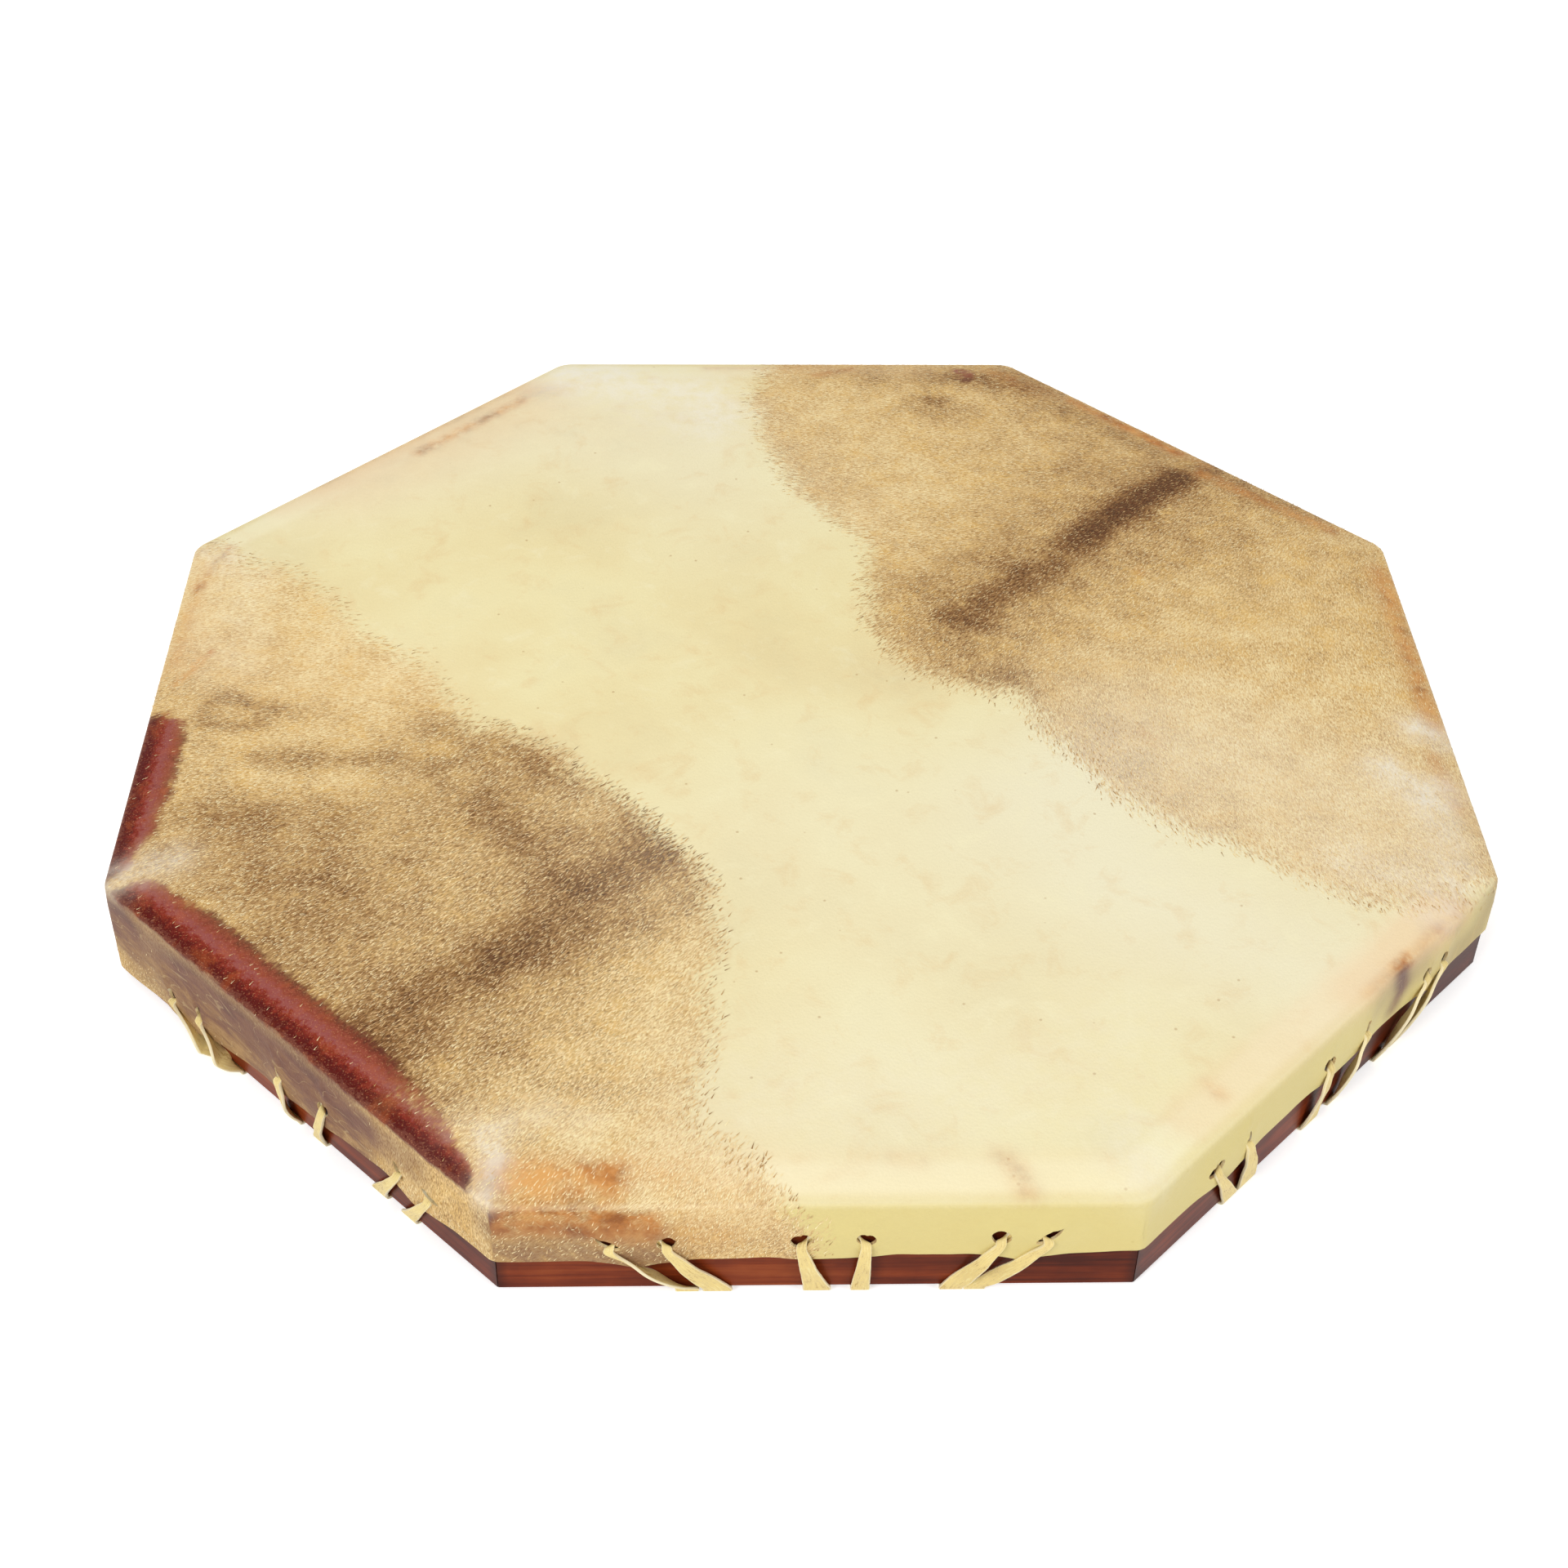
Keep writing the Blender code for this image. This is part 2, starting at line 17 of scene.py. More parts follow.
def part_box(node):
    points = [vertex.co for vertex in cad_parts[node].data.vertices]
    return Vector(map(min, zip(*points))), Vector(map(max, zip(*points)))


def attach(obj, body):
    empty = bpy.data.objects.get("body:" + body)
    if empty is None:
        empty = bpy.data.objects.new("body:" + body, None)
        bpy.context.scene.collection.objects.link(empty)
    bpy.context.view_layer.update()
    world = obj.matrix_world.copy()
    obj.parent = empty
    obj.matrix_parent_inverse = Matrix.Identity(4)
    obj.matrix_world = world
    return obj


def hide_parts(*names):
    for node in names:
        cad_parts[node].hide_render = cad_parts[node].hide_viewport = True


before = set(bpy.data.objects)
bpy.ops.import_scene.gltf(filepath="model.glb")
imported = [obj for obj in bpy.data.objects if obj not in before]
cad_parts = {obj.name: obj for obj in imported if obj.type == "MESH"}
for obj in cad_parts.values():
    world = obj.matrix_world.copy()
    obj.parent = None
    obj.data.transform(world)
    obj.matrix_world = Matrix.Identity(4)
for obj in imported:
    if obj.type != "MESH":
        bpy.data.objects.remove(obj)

for start_object in ("Cube", "Light", "Camera"):
    if start_object in bpy.data.objects:
        bpy.data.objects.remove(bpy.data.objects[start_object])

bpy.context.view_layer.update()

bl_info = {
    "name": "Octagonal Frame Drum Finish",
    "version": (1, 0, 0),
    "blender": (4, 5, 0),
    "location": "View3D > Sidebar > Drum",
    "description": "Stained boards, haired rawhide head, laces and studio for a frame drum",
    "category": "Object",
}

MM = 0.001

# Kinds of node that many materials use
ATTRIBUTE = "ShaderNodeAttribute"
BUMP = "ShaderNodeBump"
MAPPING = "ShaderNodeMapping"
MATH = "ShaderNodeMath"
MIX = "ShaderNodeMix"
NOISE = "ShaderNodeTexNoise"
RAMP = "ShaderNodeValToRGB"
RANDOM = "FunctionNodeRandomValue"
RANGE = "ShaderNodeMapRange"
TEXTURE_PLACE = "ShaderNodeTexCoord"
VORONOI = "ShaderNodeTexVoronoi"

# Sides of the drum, and sizes read from the frame
SIDE_NAMES = (
    "front", "front_right", "right", "back_right",
    "back", "back_left", "left", "front_left",
)
SIDE_COUNT = len(SIDE_NAMES)
SIDE_ANGLE = 2 * pi / SIDE_COUNT
HALF_CORNER = SIDE_ANGLE / 2
FRONT_BOARD_LOW, FRONT_BOARD_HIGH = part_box("board_front")
HEAD_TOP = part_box("rawhide_head")[1].z
KNOT_LOW, KNOT_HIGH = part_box("centre_knot")
BINDING_LOW, BINDING_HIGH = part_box("binding_front")
APOTHEM = -FRONT_BOARD_LOW.y
BOARD_THICKNESS = FRONT_BOARD_HIGH.y - FRONT_BOARD_LOW.y
BOARD_BOTTOM = FRONT_BOARD_LOW.z
HALF_SIDE = APOTHEM * tan(HALF_CORNER)
KNOT_RADIUS = KNOT_HIGH.x
SPOKE_HEIGHT = (KNOT_LOW.z + KNOT_HIGH.z) / 2
CLEARANCE = 0.3 * MM
FLOOR_GAP = 0.05 * MM

# Section of the hide: flat head, sloping bevel, fold and skirt
HIDE_THICKNESS = 1.0 * MM
BEVEL_START = -17.3 * MM        # n where the head leaves the inner edge of the boards
BEVEL_SLOPE = radians(7.8)
BEVEL_CROWN = 0.45 * MM         # the hide bellies out a little over the bevel
FOLD_CENTRE_Z = 38.91 * MM      # over the outer face of the boards
FOLD_RADIUS = 1.3 * MM
TIGHT_SKIRT = CLEARANCE + HIDE_THICKNESS
CORNER_RADIUS = 4.2 * MM        # of the skirt
FOLD_CORNER_RADIUS = 10.0 * MM  # of the fold and the head, where the hide is pulled round
SKIRT_HEIGHT = 15.7 * MM
LOW_CORNER_HEIGHT = 3.0 * MM
LOW_CORNER_SHARE = 0.75
LOW_CORNER_SPREAD = radians(17)
LOW_SIDE_SPREAD = radians(55)
LOW_CORNER_ANGLE = radians(202.5)
HIGH_SIDE_RISE = 2.4 * MM
HIGH_SIDE_ANGLE = radians(315)
HIGH_SIDE_SPREAD = radians(50)
TONGUE_DROP = 2.5 * MM
TONGUE_HALF_WIDTH = 9.0 * MM
TONGUE_SPREAD = 0.62 * TONGUE_HALF_WIDTH
EDGE_WAVER = 0.9 * MM           # of the knife along the trimmed edge
HOLE_MARGIN = 8.5 * MM
HOLE_RADIUS = 2.9 * MM
HOLE_NICK = 0.07                # share by which the punched holes are out of round

# Relief of the skirt round its laces
LACE_BULGE = 1.3 * MM           # the skirt stands out this much where a lace runs behind it
BULGE_REACH = 6.0 * MM          # beside and above that lace
BULGE_REACH_BELOW = 14.0 * MM
HOLE_LIP = (0.35 * MM, 3.4 * MM, 1.8 * MM, 2.6 * MM)    # height, place, length and width
HOLE_HOLLOW = (-0.25 * MM, -3.6 * MM, 2.2 * MM, 3.4 * MM)
PUCKER_FANS = (-0.5, 0.05, 0.55)                        # creases that fan out above a hole
PUCKER_HEIGHT = 0.5 * MM
PUCKER_WIDTH = 0.75 * MM
PUCKER_START = 3.2 * MM
PUCKER_PLACE = 4.0 * MM
PUCKER_LENGTH = 4.5 * MM

# Fineness of the hide's mesh
COLUMN_STEP = 1.8 * MM
CORNER_COLUMNS = 4
CORNER_STEP = 0.6 * MM
STRAIGHT = (APOTHEM + TIGHT_SKIRT - CORNER_RADIUS) * tan(HALF_CORNER)   # half a side, less its corner
REACH = STRAIGHT + CORNER_COLUMNS * CORNER_STEP
BEVEL_ROWS = 8
FOLD_ROWS = 5
SKIRT_ROWS = 17
HOLE_POINTS = 22
HEAD_STEP = 2.9 * MM

# Directions in which the grain of the hair is drawn, in degrees. Each place mixes the nearest.
GRAIN_ANGLES = (4, 42, 98)
GRAIN_BLEND = 17

# Fine strokes in the colour of the coat
LINT_LENGTH = 1.5 * MM
LINT_WIDTH = 0.30 * MM
TUFT_LENGTH = 3.4 * MM
TUFT_WIDTH = 0.85 * MM

# Clouds of colour in the hide: length of a feature, detail, roughness and distortion
HIDE_CLOUDS = {
    "cream clouds": (80 * MM, 4.0, 0.55, 0.0),
    "blotches": (16 * MM, 5.0, 0.66, 0.5),
    "coat clouds": (15 * MM, 6.0, 0.64, 0.0),
    "gold clouds": (11 * MM, 5.0, 0.7, 0.6),
    "fine clouds": (7 * MM, 6.0, 0.7, 0.0),
    "mottle": (2.2 * MM, 4.0, 0.7, 0.0),
    "grit_and_glints": (0.62 * MM, 1.0, 0.7, 0.0),
}
SMEAR_TURN = radians(50)
SMEAR_DRAW = 0.36               # scale along a smear, which draws it out
TONE_MAP = "OFBake"             # the hair's colours are read through this map

# How much paler or darker each board is made
BOARD_LIFTS = (0.0, -0.07, -0.05, 0.0, 0.0, 0.01, 0.0, 0.0)

# Lacing, as laid in the frame
LACE_THICKNESS = 1.0 * MM
LACE_SPREAD = 7.4 * MM
LACE_FOOT = 8.3 * MM
FOOT_SHARES = (0.85, 1.05, 0.98, 0.7, 0.84, 0.8)
LACE_NECK = 3.0 * MM
LACE_GATHERED = 5.0 * MM
LACE_PULL = 1.5 * MM            # below the middle of its hole
LACE_FLOOR_GAP = 0.12 * MM
GATE_SHARE = 0.72
GATE_SPACE = 1.4 * MM
GATHER_DEPTH = 80.0 * MM        # from the outer face of the boards to where a bundle starts
GATHERED_SQUEEZE = 0.92
BUNDLE_PITCH = 1.2 * MM         # between the laces of a bundle
STRAP_SECTION = (
    (-1.0, -0.6), (-0.95, -1.0), (-0.5, -1.0), (0.5, -1.0), (0.95, -1.0), (1.0, -0.6),
    (1.0, 0.6), (0.95, 1.0), (0.5, 1.0), (-0.5, 1.0), (-0.95, 1.0), (-1.0, 0.6),
)

# Pairs of holes: middle, pitch, drift of the laces down to the lower edge, and their space there
LEFT_PAIR = (41.6 * MM - HALF_SIDE, 16.0 * MM, 19.0 * MM, 1.6 * MM)
MIDDLE_PAIR = (6.2 * MM, 20.5 * MM, -1.5 * MM, 5.0 * MM)
RIGHT_PAIR = (HALF_SIDE - 34.6 * MM, 14.0 * MM, -15.5 * MM, 1.6 * MM)

# The front, front-right and front-left sides were measured. Each other side is laced like one.
SIDE_LIKENESS = (0, 1, 0, 2, 1, 0, 2, 2)

# How far the holes and the lower ends of the laces stray along the side, in millimetres
LACE_SHIFTS = (
    ((0, 0), (1, 0), (-1, 1.5), (-2.6, 2), (0, 0), (0, -2)),
    ((0, -9), (0, -9), (2, -3), (2, -2), (0, -4), (-4, -4)),
    ((0, -3.5), (-1, -3.5), (0, -1), (1.5, 0.5), (1, 1), (1.5, 6)),
)

# Holes pulled into slits, as length against width and the lean of the slit in degrees
HOLE_FORMS = (
    ((1.45, 0.42, -28), (1.0, 0.85, 10), (1.15, 0.85, 20), (1.05, 0.75, -15), (1.05, 0.95, -20),
     (1.7, 0.5, 38)),
    ((1.3, 0.75, 20), (1.1, 0.35, 75), (1.0, 0.9, 0), (1.3, 0.3, 75), (0.9, 0.8, 60),
     (1.0, 0.8, 60)),
    ((1.0, 0.7, -60), (1.2, 0.4, -70), (1.1, 0.25, -60), (0.9, 0.8, -30), (1.2, 0.45, -50),
     (1.3, 0.35, -20)),
)

# How far each lace turns edge-on between the skirt and the lower edge of the boards, in degrees
LACE_TWISTS = (
    (62, -14, 8, 18, 48, 46), (10, 5, -10, -40, -32, -36), (64, 66, 25, 12, 20, -15))

# Wound bindings
BINDING_HALF_WIDTH = (BINDING_HIGH.x - BINDING_LOW.x) / 2
BINDING_HALF_HEIGHT = (BINDING_HIGH.z - BINDING_LOW.z) / 2
BINDING_START = -BINDING_LOW.y
BINDING_END = -BINDING_HIGH.y
WRAP_POINTS = 24                # in a turn
WRAP_THICKNESS = 1.0 * MM
WRAP_PITCH = 0.95               # in widths of the strap
WRAP_MARGIN = 0.1 * MM
WRAP_SQUARENESS = 0.62
WRAP_LOOK = 0.05                # angle to either side at which the facing of the strap is taken
WRAP_UNEVENNESS = 0.12 * MM
WRAP_WAVER = 0.25 * MM

# Woven knot
KNOT_POINTS = 40                # in a turn
KNOT_START = 1.9 * MM
KNOT_MARGIN = 0.5 * MM
KNOT_TURN_RADIUS = 1.7 * MM
KNOT_RIM_SHARE = 0.7            # of a half turn over the rim
KNOT_WEAVE = 0.55 * MM
KNOT_WEAVES = 4.5               # waves in a turn
KNOT_CORE_RADIUS = 17.2 * MM
KNOT_CORE_HALF_HEIGHT = 2.6 * MM
KNOT_CORE_RINGS = 10
POLE_GAP = 0.01 * MM            # points nearer than this are one

# Stage: the softboxes have their place, their width and the setting that gives their power
FLOOR_REACH = 6.0
SENSOR_WIDTH = 36
SOFTBOXES = (
    ("overhead softbox", (-0.4, 0.5, 1.5), 0.9, "overhead_power"),
    ("key softbox", (-0.9, -1.3, 1.1), 0.7, "key_power"),
    ("fill softbox", (1.2, -1.1, 0.9), 0.7, "fill_power"),
)

SOFT_EDGE = 2

# Markings of the hide, on the hide laid out flat round the centre of the head, in millimetres.
# The two haired parts are outlined where they meet the bare band and closed outside the drum.
LEFT_HAIR = (
    (-242, 112), (-215, 94), (-199, 81), (-186, 76), (-171, 60), (-160, 43), (-152, 36),
    (-141, 28), (-132, 18), (-126, 6), (-119, -4), (-113, -14), (-102, -16), (-91, -22),
    (-82, -31), (-76, -38), (-67, -46), (-58, -54), (-51, -62), (-47, -70), (-41, -76),
    (-34, -85), (-32, -95), (-30, -107), (-26, -119), (-28, -134), (-32, -141), (-29, -155),
    (-28, -166), (-31, -176), (-32, -186), (-36, -195), (-31, -203), (-23, -210), (-15, -216),
    (-10, -224), (-4, -231), (0, -238), (2, -246), (0, -262), (-160, -280), (-290, -160),
    (-290, 90),
)
RIGHT_HAIR = (
    (-8, 262), (-10, 240), (-9, 221), (-18, 203), (-16, 186), (-12, 167), (-6, 143), (2, 125),
    (12, 110), (22, 99), (26, 92), (26, 81), (24, 69), (25, 55), (25, 40), (30, 26), (39, 16),
    (49, 7), (59, 3), (75, 0), (81, -10), (86, -26), (92, -37), (101, -49), (109, -60),
    (118, -68), (127, -76), (140, -80), (152, -88), (165, -100), (180, -110), (196, -113),
    (214, -110), (226, -101), (245, -92), (290, -60), (290, 120), (130, 285),
)

# Depth of tone of the coat: lines of points, their half width, how much they darken the hair,
# and how firm their edge is where it isn't soft. Lines with a negative amount lighten it.
COAT_TONES = (
    (((-54, -87), (-65, -93), (-75, -104), (-87, -117), (-97, -131), (-111, -143),
      (-124, -156), (-138, -168)), 12, 0.24),
    (((-56, -90), (-86, -122), (-128, -162)), 28, 0.14),
    (((-58, -116), (-70, -124), (-82, -137)), 12, 0.17),
    (((-100, -66), (-80, -74), (-62, -74)), 15, 0.11),
    (((-150, -82), (-110, -84), (-84, -78)), 30, 0.10),
    (((-160, -126), (-120, -128)), 26, 0.12),
    (((-104, -62), (-92, -72), (-92, -84)), 9, 0.10),
    (((-126, -168), (-84, -160)), 11, 0.09),
    (((-82, -112), (-92, -123), (-98, -132)), 9, 0.10),
    (((-132, -14), (-112, -24), (-97, -30), (-86, -40)), 12, 0.24),
    (((-118, -44), (-96, -48)), 14, 0.16),
    (((-78, -45), (-66, -54), (-54, -68), (-42, -84), (-38, -104)), 8, 0.14),
    (((-210, -5), (-203, 0), (-196, -3), (-184, -6)), 4.5, 0.34),
    (((-211, -13), (-200, -16), (-188, -14)), 4, 0.28),
    (((-186, -32), (-165, -34), (-142, -33), (-128, -38)), 6, 0.24),
    (((-208, -60), (-170, -62), (-140, -60), (-112, -62)), 12, 0.17),
    (((-200, -84), (-176, -92), (-150, -96)), 22, 0.20),
    (((-172, -118), (-150, -136), (-140, -148)), 20, 0.14),
    (((-96, -82), (-80, -96)), 12, 0.10),
    (((-186, -62), (-178, -84)), 12, 0.12),
    (((-150, -44), (-190, -44)), 5, -0.12),
    (((-88, -62), (-68, -62)), 8, -0.08),
    (((-92, -172), (-78, -182), (-64, -190)), 12, 0.12),
    (((-124, -176), (-108, -188)), 9, 0.20),
    (((-44, -138), (-46, -162)), 13, -0.16),
    (((-80, -180), (-72, -176)), 9, -0.10),
    (((-82, -42), (-78, -46)), 8, -0.10),
    (((-142, -60), (-118, -60)), 8, -0.08),
    (((-230, 70), (-180, 50), (-140, 14)), 34, -0.26),
    (((-60, -206), (-30, -214)), 20, -0.24),
    (((-20, -232), (-30, -246)), 14, 0.06),
    (((167, 146), (156, 139)), 8, 0.20),
    (((94, 224), (108, 210)), 11, 0.14),
    (((60, 216), (84, 214)), 8, 0.14),
    (((155, 139), (147, 131), (137, 123), (128, 115), (118, 103)), 7.5, 0.26),
    (((139, 125), (126, 112)), 6, 0.10),
    (((150, 134), (137, 123), (120, 105), (103, 86), (85, 69), (68, 52), (62, 46)), 10, 0.31),
    (((118, 103), (111, 94)), 7, 0.06),
    (((160, 142), (112, 95), (85, 69), (64, 48)), 19, 0.09),
    (((186, 128), (142, 99), (102, 64), (80, 44)), 16, 0.13),
    (((8, 200), (38, 165), (54, 140), (34, 104)), 21, -0.14),
    (((160, 40), (200, 30)), 36, -0.07),
    (((116, 172), (128, 148), (148, 148)), 14, 0.09),
    (((120, 142), (100, 116), (76, 88), (54, 66)), 16, 0.13),
    (((36, 60), (38, 40), (50, 20), (66, 10)), 10, 0.10),
    (((58, 38), (64, 24), (74, 12)), 11, 0.14),
    (((75, 14), (84, 4)), 10, 0.10),
    (((61, 197), (64, 196)), 5, 0.34),
    (((60, 188), (68, 184)), 9, 0.14),
    (((20, 218), (60, 216), (96, 210)), 9, 0.14),
    (((100, 208), (128, 182), (150, 164)), 11, 0.18),
    (((176, 146), (206, 116)), 10, 0.18),
    (((109, -17), (113, -18)), 6, 0.26),
    (((100, -34), (122, -40)), 12, 0.12),
    (((158, 86), (172, 84)), 12, 0.10),
    (((150, -36), (190, -60), (170, -84)), 30, -0.18),
    (((140, 4), (200, -4)), 26, -0.11),
)

# Stained wood seen through thin, oily hide: outlines of the two zones, and strokes added to them
STAINED_HIDE = (
    ((-227, -98), (-220, -94), (-214, -94), (-209, -97), (-203, -102), (-190, -111), (-174, -127),
     (-158, -143), (-143, -158), (-128, -172), (-114, -185), (-107, -195), (-102, -206),
     (-101, -224), (-112, -240), (-240, -112)),
    ((-240, -6), (-224, -7), (-217, -12), (-214, -24), (-214, -34), (-215, -44), (-214, -52),
     (-217, -60), (-216, -70), (-220, -76), (-222, -86), (-227, -93), (-240, -95)),
)
FAINT_STAIN = (
    (((74, 222), (78, 218), (76, 213)), 4.2, 0.5, 3),
    (((-121, -186), (-104, -203)), 9, -0.52),
    (((-124, -197), (-104, -218)), 3.6, 0.75, 3),
)

STAIN_EDGE = 8 * MM             # over which the stain fades in

# Amber hide, where the grain side is soaked or scorched
AMBER_HIDE = (
    (((-92, -220), (-74, -220), (-62, -221)), 8, 0.8, 3),
    (((-60, -217), (-44, -219)), 6, 0.25),
    (((-92, -236), (-74, -236), (-52, -238)), 7, 0.95, 4),
    (((-48, -238), (-30, -242)), 7, 0.25),
    (((120, 199), (132, 186), (148, 171), (159, 159)), 3.4, 0.62),
    (((166, 143), (180, 131), (196, 117), (212, 104)), 3.4, 0.66),
    (((96, 214), (108, 204)), 7, 0.2),
    (((12, 217), (20, 220), (28, 224)), 2.2, 0.6),
    (((-34, 224), (20, 226)), 2, 0.3),
    (((86, 222), (95, 214)), 4, 0.25, 3),
    (((170, 150), (150, 168), (130, 190)), 2.4, 0.4),
    (((225, 76), (226, 34), (225, 0), (226, -16)), 5, 0.7),
    (((176, -147), (190, -133), (204, -119)), 3, 0.35),
    (((221, -34), (224, -60)), 3.5, 0.45),
    (((189, -135), (192, -132)), 2.8, 0.9),
    (((208, -116), (214, -110)), 8, 0.4),
    (((54, -214), (58, -219), (60, -226)), 4, 0.32),
    (((22, -214), (30, -215)), 3, 0.18),
    (((118, -186), (122, -190)), 3, 0.30),
    (((132, 74), (132, 76)), 2, 0.5),
    (((-150, 158), (-130, 178), (-111, 197)), 3, 0.5),
    (((-188, 138), (-150, 174), (-112, 212)), 3, 0.25),
    (((-172, 136), (-108, 194), (-76, 174)), 22, 0.08),
    (((-106, 205), (-98, 206)), 6, 0.25),
    (((-216, 92), (-221, 78), (-224, 66)), 1.8, 0.5),
    (((-213, 27), (-218, 17), (-223, 9)), 1.5, 0.75),
    (((-224, 70), (-226, 20)), 3, 0.3),
    (((38, 8), (30, 16)), 14, 0.10),
    (((-88, -24), (-82, -34)), 7, 0.16),
    (((-2, 18), (-8, 22)), 14, 0.05),
    (((-60, 30), (-30, 34)), 18, 0.05),
    (((120, -20), (124, -26)), 3, 0.2),
)

# Warm flush of thin hide over the bevels
WARM_HIDE = (
    (((112, -198), (150, -164), (180, -136), (206, -112)), 9, 0.55, 4),
    (((196, -124), (206, -112)), 10, 0.5),
    (((172, -146), (190, -129), (204, -114)), 9, 0.6),
    (((-96, -219), (-20, -219), (40, -219), (92, -219)), 8.5, 0.18, 6),
    (((-30, 222), (60, 222)), 6, 0.35),
    (((-222, 20), (-224, 80)), 8, 0.35),
    (((-200, 120), (-108, 212)), 8, 0.6),
    (((-172, 132), (-108, 192)), 20, 0.5),
    (((-200, 20), (-150, 10)), 30, 0.22),
    (((-24, -214), (-40, -206)), 16, 0.3),
)

# Opaque, chalky hide, with painted glare where the hide is pulled round the front corners
PALE_AND_GLARING_HIDE = (
    (((-92, 212), (-60, 206), (-36, 204), (-30, 188)), 16, 0.85),
    (((-60, 184), (-30, 170)), 12, 0.30),
    (((218, -18), (226, -22)), 8, 0.9),
    (((202, -40), (212, -54), (220, -50)), 8, 0.8),
    (((216, -64), (216, -94), (206, -112)), 9, 0.5),
    # painted glare at the front-left corner
    (((-97, -205), (-94, -214), (-97, -226)), 5.5, 0.7),
    (((-104, -198), (-92, -204)), 9, 0.2),
    (((-208, -84), (-226, -92)), 8, 0.6),
    (((-216, 84), (-226, 92)), 9, 0.4),
    (((92, -204), (96, -220)), 12, 0.35),
    (((-92, 222), (-70, 222)), 7, 0.5),
    (((-206, 70), (-206, 20)), 14, 0.22),
    (((110, -110), (150, -130)), 40, 0.12),
    (((180, -88), (200, -96)), 12, 0.35),
    (((-86, -196), (-70, -198)), 8, 0.3),
    (((-20, -190), (50, -188), (90, -170)), 26, 0.22),
)

# Dull greenish-grey of the thickest hide
DULL_HIDE = (
    (((84, -60), (120, -110), (160, -140)), 44, 0.8),
    (((-200, 140), (-100, 175), (-40, 150)), 40, 0.7),
    (((10, 120), (-30, 90)), 30, 0.2),
    (((120, -20), (160, -40), (200, -70)), 38, 0.7),
    (((0, -70), (30, -120), (20, -190)), 62, 0.5),
)

# Grime and painted mauve shade on the skirt
GRIMY_AND_SHADED_SKIRT = (
    (((-230, -117), (-208, -140), (-164, -184), (-156, -192)), 18, 0.78, 4),
    (((-212, -144), (-162, -194)), 20, 0.4, 3),
    (((-236, -106), (-240, -98)), 14, 0.45, 3),
    (((-138, -199), (-126, -211)), 8, 0.5, 3),
    (((-246, -20), (-246, -60), (-246, -96)), 14, 0.7, 3),
    # painted mauve shadow on the front-right skirt
    (((189, -137), (197, -141), (199, -148)), 4.5, 0.75),
    (((-98, -252), (-72, -252), (-46, -254)), 7, 0.75, 3),
    (((-98, -240), (-72, -241), (-46, -243)), 6, 0.45),
    (((186, -147), (202, -132)), 8, 0.35),
    # painted shade in the crease at the front-left corner
    (((-96, -233), (-99, -240), (-101, -250)), 2.2, 1.0),
    (((-104, -236), (-106, -250)), 6, 0.35),
    (((246, -80), (246, 60)), 14, 0.25),
    (((232, -100), (236, -114), (224, -126)), 10, 0.45),
)

# Line along which the hair stands thin
THIN_COAT = ((-220, 70), (-150, 16))
THIN_COAT_SPREAD = 44 * MM

# Lie of the hair: a place on the flat hide and the direction in which its hair points, in degrees
HAIR_LIE = (
    (-200, 60, 5), (-150, 20, 8), (-200, 0, 5), (-160, -20, 12), (-110, -30, 28),
    (-75, -50, 40), (-180, -50, 15), (-140, -60, 22), (-100, -70, 34), (-60, -80, 42),
    (-190, -90, 25), (-150, -100, 32), (-110, -110, 38), (-70, -120, 44), (-40, -110, 46),
    (-120, -150, 40), (-80, -160, 45), (-45, -150, 50), (-60, -190, 50), (-40, -210, 60),
    (-30, -235, 70), (-60, -240, 60), (-210, -150, 30),
    (0, 200, 176), (20, 150, 170), (60, 180, 170), (100, 170, 170), (40, 100, 180),
    (70, 110, 192), (140, 150, 200), (30, 75, 200), (30, 50, 215), (45, 30, 232),
    (130, 118, 218), (90, 78, 222), (140, 90, 230), (110, 50, 236), (160, 60, 246),
    (200, 60, 255), (60, 10, 248), (200, 0, 265), (150, 0, 262), (110, -20, 272),
    (150, -50, 285), (180, -80, 292), (215, -90, 290), (130, -70, 286),
)


def linear(colour):
    """Linear numbers of an sRGB colour written as hex digits."""
    digits = colour.lstrip("#")
    shares = [int(digits[place:place + 2], 16) / 255 for place in (0, 2, 4)]
    return tuple(x / 12.92 if x <= 0.04045 else ((x + 0.055) / 1.055) ** 2.4 for x in shares)


def colour_property(name, description, colour):
    return FloatVectorProperty(
        name=name, description=description, subtype="COLOR", size=3, min=0, max=1,
        default=linear(colour))


def length_property(name, description, length):
    return FloatProperty(
        name=name, description=description, subtype="DISTANCE", unit="LENGTH",
        default=length, min=0, precision=5)


class DrumSizes(bpy.types.PropertyGroup):
    hair_length: length_property("Hair length", "Length of one tuft of scraped hair", 1.5 * MM)
    hair_width: length_property("Hair width", "Width of a tuft at its root", 0.30 * MM)
    hair_count: IntProperty(
        name="Hair count", description="Tufts on each haired part", default=48500, min=0)
    hide_unevenness: length_property(
        "Hide unevenness", "Height of the slow swell of the stretched head", 0.12 * MM)
    skirt_waver: length_property(
        "Skirt waver", "How far the skirt stands out from the boards in waves", 0.35 * MM)
    wrap_width: length_property("Wrap width", "Width of the lace wound round a bundle", 4.2 * MM)


class DrumColours(bpy.types.PropertyGroup):
    bare_hide: colour_property("Bare hide", "Cream of the bare band", "#efdfa9")
    tan_hide: colour_property("Tan hide", "Skin between light hairs", "#f0d398")
    dark_hide: colour_property("Dark hide", "Skin under the darkest hair", "#452a14")
    light_hair: colour_property("Light hair", "Straw-coloured hair", "#fdeebf")
    tan_hair: colour_property("Tan hair", "Hair of the coat", "#cba167")
    dark_hair: colour_property("Dark hair", "Hair of the dark streaks", "#553720")
    stained_wood: colour_property("Stained wood", "Red-brown stain of the boards", "#7d3417")
    lace: colour_property("Lace", "Face of a rawhide lace", "#e8d190")
    binding: colour_property("Binding", "Face of the lace wound round a bundle", "#d6bb76")


